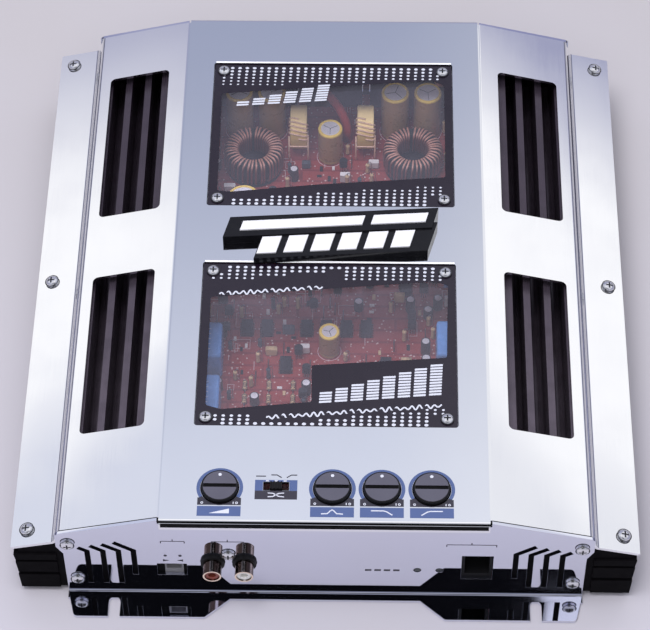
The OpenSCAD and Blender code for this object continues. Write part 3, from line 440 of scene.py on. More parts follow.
def clear_acrylic():
    """Thin clear pane: it lets light straight through, with a little dust and a reflection that grows
    towards a grazing view."""
    m = Material("clear_acrylic", (0.86, 0.86, 0.92), 0.02)
    through = m.add("ShaderNodeBsdfTransparent", (0.95, 0.94, 0.97, 1))
    shine = m.add("ShaderNodeBsdfGlossy", (0.95, 0.95, 1.0, 1), 0.015)
    haze = m.add("ShaderNodeBsdfDiffuse", (0.62, 0.60, 0.72, 1))
    dust = m.span(m.grain(22, 4), 0.3, 0.7, 0.028, 0.044)
    dusty = m.add("ShaderNodeMixShader", dust, through.outputs[0], haze.outputs[0])
    facing = m.add("ShaderNodeLayerWeight", 0.5).outputs["Facing"]
    mirrored = m.math("ADD", m.math("MULTIPLY", m.math("POWER", facing, 5.0), 0.95), 0.045)
    blend = m.add("ShaderNodeMixShader", mirrored, dusty.outputs[0], shine.outputs[0])
    m.tree.links.new(blend.outputs[0], m.tree.nodes["Material Output"].inputs["Surface"])
    m.tree.nodes.remove(m.shader)


PRINT = dict(grain=2, depth=0.004)
LACQUER = dict(PRINT, Coat_Weight=0.3, Coat_Roughness=0.02)
for make in (core_yellow, board_red, fuse_blue, clear_acrylic):
    make()
plastic("badge_black", (0.005, 0.005, 0.007), 0.2, grain=3, depth=0.01, gloss=0.25)
plastic("badge_white", (0.70, 0.70, 0.73), 0.2, 0.04, grain=3, depth=0.01)
plastic("black_plastic", (0.006, 0.006, 0.007), 0.42, gloss=0.2)
plastic("white_plastic", (0.78, 0.77, 0.74), 0.35, 0.06)
plastic("red_plastic", (0.20, 0.045, 0.03), 0.35)
plastic("sleeve_yellow", (0.85, 0.62, 0.13), 0.3)
plastic("ceramic_tan", (0.62, 0.46, 0.26), 0.5)
plastic("board_black", (0.016, 0.017, 0.020), 0.4)
plastic("socket_grey", (0.20, 0.20, 0.21), 0.4)
plastic("cap_black", (0.0022, 0.0018, 0.0026), 0.5, gloss=0.02)
plastic("deep_black", (0.002, 0.002, 0.0025), 0.7, gloss=0.1)
plastic("board_slate", (0.07, 0.085, 0.10), 0.4)
plastic("silk_white", (0.62, 0.50, 0.50), 0.6, 0.2)
plastic("lead_red", (0.42, 0.05, 0.04), 0.38)
plastic("pad_grey", (0.52, 0.52, 0.52), 0.6)
plastic("ferrite", (0.020, 0.030, 0.026), 0.45)
plastic("film_blue", (0.14, 0.34, 0.72), 0.25, 0.2, grain=1.5, depth=0.04)
plastic("lamp_clear", (0.03, 0.035, 0.04), 0.12)
plastic("knob_grey", (0.004, 0.004, 0.005), 0.3, grain=0.3, gloss=0.25)
plastic("knob_face", (0.075, 0.073, 0.10), 0.42, 0.12, grain=0.25, depth=0.012)
# White of the painted highlights along the far edges of the two openings
plastic("highlight_white", (0.86, 0.865, 0.89), 0.2, 0.05)
plastic("print_black", (0.007, 0.003, 0.010), 0.30, 0.1, **LACQUER)
plastic("print_white", (0.56, 0.58, 0.66), 0.35, 0.03, **LACQUER)
plastic("print_blue", (0.062, 0.095, 0.225), 0.35, 0.08, **PRINT)
plastic("print_grey", (0.026, 0.024, 0.036), 0.35, 0.08, **PRINT)
plastic("print_pale", (0.42, 0.55, 0.78), 0.4)


# ---- CAD nodes ----
SAME_POINT = 0.000002  # metres


def smoothing():
    """Geometry nodes that join the corners of each face and turn on smooth shading."""
    tree = bpy.data.node_groups.new("join_and_smooth", "GeometryNodeTree")
    for way in ("INPUT", "OUTPUT"):
        tree.interface.new_socket("Geometry", in_out=way, socket_type="NodeSocketGeometry")
    start, end = tree.nodes.new("NodeGroupInput"), tree.nodes.new("NodeGroupOutput")
    plain = tree.nodes.new("GeometryNodeRemoveAttribute")
    plain.inputs["Name"].default_value = "custom_normal"
    merge = tree.nodes.new("GeometryNodeMergeByDistance")
    merge.inputs["Distance"].default_value = SAME_POINT
    smooth = tree.nodes.new("GeometryNodeSetShadeSmooth")
    chain = (start, plain, merge, smooth, end)
    for before, after in zip(chain, chain[1:]):
        tree.links.new(before.outputs[0], after.inputs[0])
    return tree


def round_edges(obj, width, angle):
    """Rounds the edges that turn by more than angle degrees."""
    bevel = obj.modifiers.new("edge", "BEVEL")
    bevel.width = width * MM
    bevel.segments = 2
    bevel.limit_method = "ANGLE"
    bevel.angle_limit = math.radians(angle)
    return bevel


join_and_smooth = smoothing()
# Width of the small round along the edges of each node
EDGE = {name: width for width, names in (
    (1.6, "film_capacitors"),
    (0.8, "choke_cores"),
    (0.6, "toroid_cores"),
    (0.55, "top_cover"),
    (0.45, "badge_plate"),
    (0.4, "fuses"),
    (0.35, "power_block speaker_block fuse_holder"),
    (0.3, "heatsink_left heatsink_right end_caps_front end_caps_rear rca_block power_transistors"),
    (0.25, "signal_chips"),
    (0.2, "front_panel rear_panel bottom_plate rca_insert_red rca_insert_white remote_jack "
     "high_input_socket switch_body transistor_clamps pot_bodies"),
    (0.15, "rca_shells terminal_screws window_rear window_front"),
    (0.12, "badge_inlay switch_slider knob_level knob_bass knob_low_pass knob_high_pass"),
    (0.1, "window_frames"),
    (0.08, "cover_screws panel_screws window_screws board_screws clamp_screws bottom_screws"),
) for name in names.split()}
# Nodes that look different from the rest of their slot
FINISH = dict(end_caps_front="cap_black", end_caps_rear="cap_black", high_input_socket="socket_grey")
# Angles in degrees between two faces that are one flat face, and at an edge that gets its round: on a CAD
# node and on a piece made here
FLAT, SHARP, SHARP_PIECE = 0.4, 28, 40
for name, obj in nodes.items():
    obj.data.materials.clear()
    obj.data.materials.append(materials[FINISH.get(name, slot_of[name])])
    join = obj.modifiers.new("join", "NODES")
    join.node_group = join_and_smooth
    if name != "rear_panel":
        flat = obj.modifiers.new("flat", "DECIMATE")
        flat.decimate_type = "DISSOLVE"
        flat.angle_limit = math.radians(FLAT)
    if name in EDGE:
        round_edges(obj, EDGE[name], SHARP).miter_outer = "MITER_ARC"
    shade = obj.modifiers.new("shade", "WEIGHTED_NORMAL")
    shade.keep_sharp = False
    shade.weight = 60


# ---- mesh helpers ----
def extremes(points):
    """Lowest and highest corner of the box round some points."""
    return [Vector(end(p[k] for p in points) for k in range(3)) for end in (min, max)]


def islands(name):
    """(low, high, points) in millimetres of the separate solids of a CAD node, from -X to +X."""
    bm = bmesh.new()
    bm.from_mesh(nodes[name].data)
    bmesh.ops.remove_doubles(bm, verts=bm.verts, dist=SAME_POINT)
    left, found = set(bm.verts), []
    while left:
        stack, group = [left.pop()], []
        while stack:
            v = stack.pop()
            group.append(v.co.copy())
            for e in v.link_edges:
                w = e.other_vert(v)
                if w in left:
                    left.remove(w)
                    stack.append(w)
        group = [c / MM for c in group]
        found.append((*extremes(group), group))
    bm.free()
    return sorted(found, key=lambda solid: (round(solid[0].x, 2), round(solid[0].y, 2)))


def middle_xy(low, high):
    return (low.x + high.x) / 2, (low.y + high.y) / 2


class Piece:
    """A mesh under construction, in millimetres."""

    def __init__(self, name):
        self.name = name
        self.points, self.faces = [], []

    def grid(self, rings):
        """Closed skin over a list of rings that all have the same number of points."""
        base, n = len(self.points), len(rings[0])
        for ring in rings:
            self.points += [tuple(p) for p in ring]
        last = base + (len(rings) - 1) * n
        for a in range(base, last, n):
            for j in range(n):
                k = (j + 1) % n
                self.faces.append((a + j, a + k, a + n + k, a + n + j))
        self.faces.append(tuple(base + j for j in reversed(range(n))))
        self.faces.append(tuple(last + j for j in range(n)))
        return self

    def lathe(self, centre, profile, sides, along_y=False):
        """Turns a profile of (radius, height) round an upright axis through centre, or one along Y."""
        rings = []
        for r, h in profile:
            ring = []
            for j in range(sides):
                a = 2 * math.pi * j / sides
                u, v = r * math.cos(a), r * math.sin(a)
                ring.append(Vector(centre) + Vector((v, h, u) if along_y else (u, v, h)))
            rings.append(ring)
        return self.grid(rings)

    def tube(self, path, radius, sides):
        """Round wire of the given radius along a path."""
        path = [Vector(p) for p in path]
        rings, across = [], None
        for i, p in enumerate(path):
            along = (path[min(i + 1, len(path) - 1)] - path[max(i - 1, 0)]).normalized()
            if across is None:
                across = along.orthogonal().normalized()
            across = (across - along * across.dot(along)).normalized()
            other = along.cross(across)
            turns = [2 * math.pi * j / sides for j in range(sides)]
            rings.append([p + (across * math.cos(t) + other * math.sin(t)) * radius for t in turns])
        return self.grid(rings)

    def block(self, low, high):
        (x0, y0, z0), (x1, y1, z1) = low, high
        ring = lambda z: [(x0, y0, z), (x1, y0, z), (x1, y1, z), (x0, y1, z)]
        return self.grid([ring(z0), ring(z1)])

    def post(self, x, y, w, d, z0, z1):
        """Upright block, w by d, round x, y."""
        return self.block((x - w / 2, y - d / 2, z0), (x + w / 2, y + d / 2, z1))

    def sheet(self, loops, z0, z1, place=lambda p: p):
        """Flat plate between z0 and z1 whose outline is the first loop; the others are holes."""
        flat = [[Vector((x, y, 0)) for x, y in loop] for loop in loops]
        triangles = tessellate_polygon(flat)
        points = [p for loop in flat for p in loop]
        base, n = len(self.points), len(points)
        for z in (z0, z1):
            self.points += [tuple(place(Vector((p.x, p.y, z)))) for p in points]
        for a, b, c in triangles:
            pa, pb, pc = points[a], points[b], points[c]
            if (pb - pa).cross(pc - pa).z < 0:
                b, c = c, b
            self.faces.append((base + n + a, base + n + b, base + n + c))
            self.faces.append((base + a, base + c, base + b))
        start = 0
        for loop in loops:
            area = sum(x0 * y1 - x1 * y0 for (x0, y0), (x1, y1) in zip(loop, loop[1:] + loop[:1]))
            outer = loop is loops[0]
            for i in range(len(loop)):
                a, b = base + start + i, base + start + (i + 1) % len(loop)
                quad = (a, b, b + n, a + n)
                self.faces.append(quad if (area > 0) == outer else quad[::-1])
            start += len(loop)
        return self

    def done(self, material, slot=None, body="root", smooth=False, bevel=0.0, replaces=()):
        """Makes the object, which rides on a body; slot is not used."""
        mesh = bpy.data.meshes.new(self.name)
        mesh.from_pydata([(x * MM, y * MM, z * MM) for x, y, z in self.points], [], self.faces)
        mesh.materials.append(materials[material])
        if smooth:
            mesh.shade_smooth()
        obj = new_object(self.name, mesh)
        if bevel:
            round_edges(obj, bevel, SHARP_PIECE)
        if smooth:
            shade = obj.modifiers.new("shade", "WEIGHTED_NORMAL")
            shade.keep_sharp = False
        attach(obj, body)
        if replaces:
            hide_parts(*replaces)
        return obj


def arc(centre, r, start, end, steps):
    """Points on a circle from start to end degrees."""
    turns = [math.radians(start + (end - start) * i / steps) for i in range(steps + 1)]
    return [(centre[0] + r * math.cos(t), centre[1] + r * math.sin(t)) for t in turns]


def disc(centre, r, sides=16):
    return arc(centre, r, 0, 360 * (sides - 1) / sides, sides - 1)


def rounded(points, r, steps=4):
    """Outline with each corner replaced by a short curve."""
    result = []
    for i, p in enumerate(points):
        a, b, c = Vector(points[i - 1]), Vector(p), Vector(points[(i + 1) % len(points)])
        reach_a, reach_c = (min(r, (q - b).length / 2) for q in (a, c))
        u, v = b + (a - b).normalized() * reach_a, b + (c - b).normalized() * reach_c
        for k in range(steps + 1):
            t = k / steps
            result.append(tuple(u * (1 - t) ** 2 + b * 2 * t * (1 - t) + v * t * t))
    return result


def rectangle(x0, y0, x1, y1, r=0.0):
    corners = [(x0, y0), (x1, y0), (x1, y1), (x0, y1)]
    return rounded(corners, r) if r else corners


def stroke(points, width):
    """Outline of a line of the given width through the points."""
    line = [Vector(p) for p in points]
    sides = ([], [])
    for i, p in enumerate(line):
        a, b = line[max(i - 1, 0)], line[min(i + 1, len(line) - 1)]
        n = (b - a).normalized().orthogonal() * width / 2
        sides[0].append(tuple(p + n))
        sides[1].append(tuple(p - n))
    return sides[1] + sides[0][::-1]


# ---- prints on the two windows ----
def on_pane(window, low, high):
    """Lowest and highest point of a thin layer, from its heights over a pane."""
    z = cad(window)[1].z
    return z + low, z + high


def white_layer(window):
    return on_pane(window, 0.06, 0.09)


def border(name, window, clear):
    """Black border round the clear part of a pane."""
    low, high = cad(window)
    outer = rectangle(low.x + 0.1, low.y + 0.1, high.x - 0.1, high.y - 0.1, 1.4)
    piece = Piece(name).sheet([outer, rounded(clear, 1.2)], *on_pane(window, 0.01, 0.05))
    piece.done("print_black")


COLUMNS = 30
FIRST_DOT = -53.9
DOT_STEP = 3.66
DOT_HEIGHT = 0.8  # of their width


def dot_field(rows, missing, edge, step, lean, radius, shrink):
    """Places and radii of dots that get smaller away from a pane's edge: rows(i) of them in column i."""
    for i in range(COLUMNS):
        x = FIRST_DOT + i * DOT_STEP
        for k in range(rows(i)):
            if not missing(i, k):
                yield x + lean * k, edge + step * k, radius - shrink * k


def dots(name, window, *fields):
    """White dots on the border."""
    layer = white_layer(window)
    piece = Piece(name)
    for field in fields:
        for x, y, r in field:
            piece.sheet([[(px, y + (py - y) * DOT_HEIGHT) for px, py in disc((x, y), r, 14)]], *layer)
    piece.done("print_white")


rear_low, rear_high = cad("window_rear")
front_low, front_high = cad("window_front")
border("rear_window_border", "window_rear", [
    (-55, 101.6), (-22.3, 104.8), (48.9, 111.2), (55.2, 107.9), (55.1, 48.1), (-6.1, 42.9), (-48.2, 37.9),
    (-54.7, 38.6),
])
dots(
    "rear_window_dots", "window_rear",
    dot_field(
        lambda i: 6 if i < 9 else 5 if i < 20 else 4, lambda i, k: (i == 0 or i > 28) and k < 2,
        rear_high.y - 2.6, -2.2, -0.12, 0.92, 0.08,
    ),
    dot_field(
        lambda i: 2 + int(i * 4.3 / 27), lambda i, k: i < 2 and k < 2 or i > 27 and k < 3,
        rear_low.y + 1.6, 2.2, 0.1, 0.94, 0.07,
    ),
)
border("front_window_border", "window_front", [
    (-54.9, -26.3), (48.5, -16.1), (55.5, -18.1), (54.6, -60.4), (-7.2, -65.4), (-6.8, -85.9),
    (-47.7, -90.4), (-54.7, -88.2),
])
dots(
    "front_window_dots", "window_front",
    dot_field(
        lambda i: max(4 - int((i - 1) / 4.4), 1) if i < 17 else 4, lambda i, k: (i < 2 or i > 28) and k < 2,
        front_high.y - 2.2, -2.2, -0.1, 0.92, 0.08,
    ),
    dot_field(
        lambda i: 3 if i < 6 else 1 + int(max(i - 9, 0) / 4.4),
        lambda i, k: i < 2 and k < 1 or i > 27 and k < 3,
        front_low.y + 1.5, 2.1, 0.1, 0.94, 0.07,
    ),
)


def meter(piece, layer, x, y, width, rows, lean):
    """A column of a level meter: short bars one above another."""
    pitch, bar_height, slant = 1.62, 1.12, 0.08
    for k in range(rows):
        rise, shift = k * pitch, k * pitch * lean
        bar = [(x + shift, y + rise), (x + width + shift, y + rise + width * slant)]
        bar += [(px + bar_height * lean, py + bar_height) for px, py in bar[::-1]]
        piece.sheet([rounded(bar, 0.25, 2)], *layer)


def wave(piece, layer, x, y, length, rise, swing, period):
    """A thin wavy line, as on the screen of an oscilloscope, climbing by rise over its length."""
    steps = int(length / 0.22)
    line = []
    for k in range(steps + 1):
        t = k / steps
        size = swing * (0.35 + 0.65 * abs(math.sin(5.1 * t * math.pi)))
        line.append((x + length * t, y + rise * t + size * math.sin(2 * math.pi * length * t / period)))
    piece.sheet([stroke(line, 0.75)], *layer)


rear_bars, layer = Piece("rear_window_bars"), white_layer("window_rear")
for i in range(6):
    meter(rear_bars, layer, -47.5 + i * 7.7, 93.3 + i * 0.7, 5.9, 2 + i, 0.16)
rear_bars.done("print_white")
front_bars, layer = Piece("front_window_bars"), white_layer("window_front")
for i in range(8):
    meter(front_bars, layer, -3.5 + i * 7.1, -86.6 + i * 0.68, 5.6, 4 + i, 0.05)
for x, y, length, rise in ((-51.0, -24.6, 48.0, 4.3), (-27.0, -94.9, 79.0, 7.4)):
    wave(front_bars, layer, x, y, length, rise, swing=1.25, period=3.4)
front_bars.done("print_white")

# ---- prints on the cover ----
top_z = cad("badge_plate")[0].z


def on_cover(low, high):
    """Lowest and highest point of a thin layer, from its heights over the cover."""
    return top_z + low, top_z + high


# Painted highlights: white strips on the cover along the far edge of each of the two openings, for the
# bright cut edges
edge_highlights = Piece("window_edge_highlights")
for low, high in (cad("window_rear"), cad("window_front")):
    strip = rectangle(low.x + 0.6, high.y + 0.15, high.x - 0.3, high.y + 1.15)
    edge_highlights.sheet([strip], *on_cover(0.01, 0.06))
edge_highlights.done("highlight_white")

blue, grey, marks = Piece("label_blue"), Piece("label_grey"), Piece("label_marks")
CURVES = dict(
    knob_level=[(-4.5, -1.2), (4.5, 1.3), (4.5, -1.2)],
    knob_bass=[(-4.8, -1.0), (-2.0, -0.8), (-0.8, 0.6), (0, 1.2), (0.8, 0.6), (2.0, -0.8), (4.8, -1.0)],
    knob_low_pass=[(-4.8, 0.9), (0.6, 0.9), (2.0, 0.5), (4.6, -1.3)],
    knob_high_pass=[(-4.6, -1.3), (-2.0, 0.5), (-0.6, 0.9), (4.8, 0.9)],
)


def around(x, y):
    """Moves outlines that are drawn round the origin to x, y."""
    return lambda p: p + Vector((x, y, 0))


def knob_label(body, here):
    """Blue ring and foot, grey corners, and the marks on both."""
    ring = arc(ORIGIN, 10.3, -31, 211, 44) + arc(ORIGIN, 8.75, 211, -31, 44)
    blue.sheet([ring], *on_cover(0.01, 0.07), here)
    blue.sheet([rectangle(-9.6, -14.9, 9.6, -9.75)], *on_cover(0.01, 0.06), here)
    dark = [(-9.6, -9.1), (9.6, -9.1), (9.6, -5.3), (8.9, -5.3)]
    dark += arc(ORIGIN, 8.75, -31, -149, 20) + [(-8.9, -5.3), (-9.6, -5.3)]
    grey.sheet([dark], *on_cover(0.01, 0.05), here)
    top = on_cover(0.06, 0.09)
    for x in (-7.6, 7.7):
        marks.sheet([disc((x, -8.0), 0.62, 14), disc((x, -8.0), 0.3, 14)], *top, here)
    marks.sheet([rectangle(6.0, -8.6, 6.4, -7.4)], *top, here)
    line = [(x, y - 12.3) for x, y in CURVES[body]]
    marks.sheet([line if body == "knob_level" else stroke(line, 0.55)], *top, here)


def knob_details(body, here, top):
    """Pointer, the two halves of the face, and the dark floor of the groove; all ride on the knob."""
    pointer = Piece("pointer_" + body)
    pointer.sheet([disc((0, 5.6), 0.75, 18)], top + 0.03, top + 0.05, here)
    pointer.done("print_white", body=body)
    face = Piece("face_" + body)
    face_r, gap_half = 7.45, 0.95
    tilt = math.degrees(math.asin(gap_half / face_r))
    for turn in (0, 180):
        half = arc(ORIGIN, face_r, turn + tilt, turn + 180 - tilt, 28)
        face.sheet([half], top - 0.05, top + 0.025, here)
    face.done("knob_face", "knob_grey", body=body)
    groove = Piece("groove_" + body)
    groove.sheet([rectangle(-7.0, -0.9, 7.0, 0.9)], top - 0.3, top - 0.25, here)
    groove.done("deep_black", body=body)


ORIGIN = (0, 0)
for body in frame["bodies"]:
    if body.startswith("knob_"):
        low, high = cad(body)
        here = around(*middle_xy(low, high))
        knob_label(body, here)
        knob_details(body, here, high.z)


def switch_label(here):
    """Blue and grey fields round the slot of the switch, with its marks and signs."""
    field = rectangle(-9.35, -2.4, 9.35, 3.3)
    blue.sheet([field, rectangle(-5.85, -2.39, 5.85, 2.4)], *on_cover(0.01, 0.05), here)
    grey.sheet([rectangle(-9.35, -6.9, 9.35, -2.4)], *on_cover(0.01, 0.06), here)
    for x in (-3.9, 0, 3.9):
        marks.sheet([rectangle(x - 0.7, 2.5, x + 0.7, 3.1)], *on_cover(0.06, 0.09), here)
    for s in (-1, 1):
        line = [(-3.6 * s, -5.6), (-1.2 * s, -5.4), (1.2 * s, -3.8), (3.6 * s, -3.6)]
        marks.sheet([stroke(line, 0.5)], *on_cover(0.065, 0.09), here)
    signs = Piece("switch_signs")
    for line in (
        [(-9.0, 5.3), (-4.6, 5.3)],
        [(-2.3, 6.0), (0.3, 6.0), (2.3, 4.6)],
        [(4.6, 4.6), (6.6, 6.0), (9.2, 6.0)],
    ):
        signs.sheet([stroke(line, 0.5)], *on_cover(0.01, 0.05), here)
    signs.done("print_grey")


switch_label(around(*middle_xy(*cad("switch_body"))))
blue.done("print_blue")
grey.done("print_grey")
marks.done("print_white")


# ---- prints on the front panel ----
# The lamps end 0.2 behind the panel's outer face
panel_face = cad("indicator_lamps")[0].y - 0.2
panel_marks = Piece("panel_marks")


def on_panel(outline):
    """Adds a thin print whose outline is given in X and Z."""
    panel_marks.sheet([outline], 0.0, 0.04, lambda p: Vector((p.x, panel_face - p.z, p.y)))


def bracket(x0, x1, z, drop=1.6):
    middle = (x0 + x1) / 2
    for line in ([(x0, z - drop), (x0, z), (x1, z), (x1, z - drop)], [(middle, z), (middle, z + drop)]):
        for a, b in zip(line, line[1:]):
            on_panel(stroke([a, b], 0.45))


bracket(-72.5, -62.0, 43.0)
bracket(-50.0, -35.8, 43.0)
bracket(54.0, 76.0, 42.6)
for x, s in ((-71.0, -1), (-64.4, 1)):
    on_panel([(x - s * 1.6, 27.3), (x + s * 1.2, 26.4), (x + s * 1.2, 28.2)][::s])
    on_panel(disc((x, 31.2), 0.8))
for i in range(4):
    on_panel(rectangle(18.0 + i * 4.2, 20.3, 20.9 + i * 4.2, 21.7))
panel_marks.done("print_grey")


# ---- wound parts ----
random.seed(7)


def coil(piece, centre, axis, r0, r1, half, turns, start, sweep, wire, steps, wander=0.0, lean=0.0):
    """Wire wound round a ring's section, over sweep degrees from start. r0 and r1 are the ring's radii, and
    half is half its height along the axis."""
    middle, a, b = (r0 + r1) / 2, (r1 - r0) / 2 + wire, half + wire
    path, total = [], turns * steps
    squareness = 0.55
    jitter = [random.uniform(-wander, wander) for _ in range(turns + 1)]
    for i in range(total + 1):
        turn, t = divmod(i, steps)
        shift = jitter[turn] * (1 - t / steps) + jitter[min(turn + 1, turns)] * t / steps
        around = math.radians(start + sweep * i / total) + shift
        p = 2 * math.pi * t / steps
        u = math.copysign(abs(math.cos(p)) ** squareness, math.cos(p)) * a
        v = math.copysign(abs(math.sin(p)) ** squareness, math.sin(p)) * b
        r, around = middle + u, around + math.radians(lean) * v / b
        if axis == "Z":
            point = (r * math.cos(around), r * math.sin(around), v)
        else:
            point = (v, r * math.cos(around), r * math.sin(around))
        path.append(Vector(centre) + Vector(point))
    piece.tube(path, wire, 7)


board_face = cad("main_board")[1].z


def wind_toroids():
    winding, pads = Piece("toroid_wire"), Piece("toroid_shade_discs")
    for low, high, _ in islands("toroid_cores"):
        r = (high.x - low.x) / 2
        coil(
            winding, (low + high) / 2, "Z", r - 5.1, r + 0.7, half=(high.z - low.z) / 2, turns=38,
            start=100, sweep=352, wire=0.58, steps=22, wander=0.04,
        )
        # Painted shade: a black disc on the board under each toroid, so that the hole in its middle looks
        # shadowed.
        pads.sheet([disc(middle_xy(low, high), r + 0.6, 40)], board_face + 0.01, board_face + 0.6)
    winding.done("copper_wire", "copper_wire", replaces=["toroid_windings"], smooth=True)
    pads.done("board_black")


def wind_chokes():
    """A few heavy turns over the front of each core, with their ends led down to the board."""
    winding, wire = Piece("choke_wire"), 0.45
    for low, high, _ in islands("choke_cores"):
        centre = (low + high) / 2
        r, half = (high.z - low.z) / 2, (high.x - low.x) / 2
        coil(
            winding, centre, "X", r - 5.0, r, half, turns=5,
            start=164, sweep=-52, wire=0.42, steps=24, lean=6,
        )
        y, z = centre.y - r - 0.6, centre.z
        for x in (centre.x - half - 0.5, centre.x + half + 0.5):
            path = [(y + 3.5, z + 2), (y + 0.6, z), (y, z - 4), (y + 0.4, z - 9), (y + 1, board_face)]
            winding.tube([(x, py, pz) for py, pz in path], wire, 7)
        x0, x1 = low.x - 0.5, high.x + 0.5
        path = [(x0, y + 1, z - 1), (x0 + 0.6, y, z - 1.8), (x1 - 0.6, y, z - 1.8)]
        path += [(x1, y + 0.6, z - 0.8), (x1, y + 2.5, z + 4)]
        winding.tube(path, wire, 7)
    winding.done("bright_wire", "copper_wire", replaces=["choke_windings"], smooth=True)


wind_toroids()
wind_chokes()

# ---- capacitors ----
silk = Piece("silk_lines")
THIRD_TURN = 2.094  # in radians


def big_capacitors():
    """Sleeve with a rolled-in groove, yellow rim, and a metal top with three vent lines in it."""
    sleeves, rims = Piece("capacitor_sleeves"), Piece("capacitor_rims")
    tops, vents = Piece("capacitor_tops"), Piece("capacitor_vents")
    for low, high, _ in islands("main_capacitors"):
        x, y = middle_xy(low, high)
        r, z0, z1 = (high.x - low.x) / 2, low.z, high.z
        sleeves.lathe((x, y, 0), [
            (r - 1.2, z0), (r - 0.2, z0 + 0.2), (r, z0 + 0.8), (r, z0 + 2.0), (r - 0.5, z0 + 2.4),
            (r - 0.5, z0 + 2.9), (r, z0 + 3.3), (r, z1 - 1.3), (r - 0.05, z1 - 1.25),
        ], 44)
        rims.lathe((x, y, 0), [
            (r - 0.1, z1 - 1.35), (r, z1 - 1.25), (r, z1 - 0.8), (r - 0.15, z1 - 0.35),
            (r - 0.5, z1 - 0.05), (r - 1.0, z1), (r - 1.35, z1 - 0.15), (r - 1.5, z1 - 0.5),
        ], 44)
        tops.lathe((x, y, 0), [
            (r - 1.3, z1 - 0.6), (r - 1.35, z1 - 0.42), (r - 1.7, z1 - 0.36), (r - 2.1, z1 - 0.4),
            (0.3, z1 - 0.38),
        ], 40)
        first = random.uniform(0, 3)
        for k in range(3):
            t = first + k * THIRD_TURN
            end = (x + math.cos(t) * (r - 2.2), y + math.sin(t) * (r - 2.2))
            vents.sheet([stroke([(x, y), end], 0.3)], z1 - 0.39, z1 - 0.345)
        ring = [disc((x, y), r + 0.75, 48), disc((x, y), r + 0.45, 48)]
        silk.sheet(ring, board_face + 0.01, board_face + 0.05)
    sleeves.done("capacitor_gold", "capacitor_gold", replaces=["main_capacitors"], smooth=True)
    rims.done("sleeve_yellow", "capacitor_gold", smooth=True)
    tops.done("aluminium_top", smooth=True)
    vents.done("board_slate")


big_capacitors()
small_sleeves, small_tops = Piece("signal_capacitor_sleeves"), Piece("signal_capacitor_tops")


def small_capacitor(x, y, r, top):
    foot = board_face
    small_sleeves.lathe((x, y, 0), [
        (r - 0.4, foot), (r, foot + 0.4), (r, foot + 1), (r - 0.25, foot + 1.3), (r, foot + 1.7),
        (r, top - 0.3), (r - 0.2, top), (r - 0.55, top - 0.1),
    ], 22)
    small_tops.lathe((x, y, 0), [(r - 0.5, top - 0.2), (r - 0.6, top - 0.06), (0.2, top - 0.06)], 18)


for low, high, _ in islands("signal_capacitors"):
    small_capacitor(*middle_xy(low, high), (high.x - low.x) / 2, high.z)

# ---- small parts on the board ----
STANDING = (
    "toroid_windings choke_windings choke_cores main_capacitors signal_capacitors film_capacitors "
    "resistors signal_chips standoffs power_transistors transistor_clamps clamp_screws power_lead "
    "rca_block high_input_socket remote_jack power_block speaker_block fuse_holder board_screws "
    "rca_shells rca_insert_red rca_insert_white indicator_lamps"
).split()
CLEAR_ABOVE = 30  # what starts higher leaves the board free
taken = []
for name in STANDING:
    for low, high, _ in islands(name):
        if low.z < CLEAR_ABOVE:
            taken.append((low.x - 0.4, low.y - 0.4, high.x + 0.4, high.y + 0.4))


def room(x, y, w, d):
    """True, and the place is taken, if a w by d part fits with its centre at x, y."""
    box = (x - w / 2, y - d / 2, x + w / 2, y + d / 2)
    if abs(x) + w / 2 > 70 or abs(y) + d / 2 > 131:
        return False
    if any(box[0] < t[2] and t[0] < box[2] and box[1] < t[3] and t[1] < box[3] for t in taken):
        return False
    taken.append((box[0] - 0.25, box[1] - 0.25, box[2] + 0.25, box[3] + 0.25))
    return True


chips, slates, whites = Piece("board_chips"), Piece("board_diodes"), Piece("board_white_parts")
tans, legs = Piece("board_tan_parts"), Piece("board_wires")
z0 = board_face


def chip(x, y, w, d, h):
    """Flat black housing with a row of pins along both sides."""
    chips.post(x, y, w, d, z0 + 0.4, z0 + h)
    pins = max(2, int(d / 1.3))
    for k in range(pins):
        for s in (-1, 1):
            pin_x, pin_y = x + s * (w / 2 + 0.35), y - d / 2 + (k + 0.5) * d / pins
            legs.post(pin_x, pin_y, 0.7, 0.44, z0 + 0.02, z0 + 0.9)


def transistor(x, y, h):
    """Half-round black housing on three legs."""
    body_h = 4.4
    chips.sheet([arc((x, y), 2.1, -40, 220, 10)], z0 + h - body_h, z0 + h)
    for k in (-1, 0, 1):
        legs.post(x + k * 1.1, y, 0.4, 0.4, z0, z0 + h - body_h + 0.1)


def upright(x, y, h, piece):
    """Resistor or diode that stands on one end, with its upper wire bent down beside it."""
    piece.lathe((x, y, z0), [
        (0.35, 0.5), (1.05, 0.8), (1.15, 1.5), (0.95, 2.4),
        (0.95, h - 2.4), (1.15, h - 1.6), (1.05, h - 0.9), (0.35, h - 0.6),
    ], 10)
    path = [(0, h - 0.7), (0, h + 0.5), (0.5, h + 1.0), (1.4, h + 0.9), (1.9, h), (1.9, 0)]
    legs.tube([(x + px, y, z0 + pz) for px, pz in path], 0.22, 5)


def film(x, y, w, h, piece):
    """Small flat capacitor with round ends."""
    piece.sheet([rectangle(x - w / 2, y - 1.3, x + w / 2, y + 1.3, 0.7)], z0 + 0.8, z0 + h)


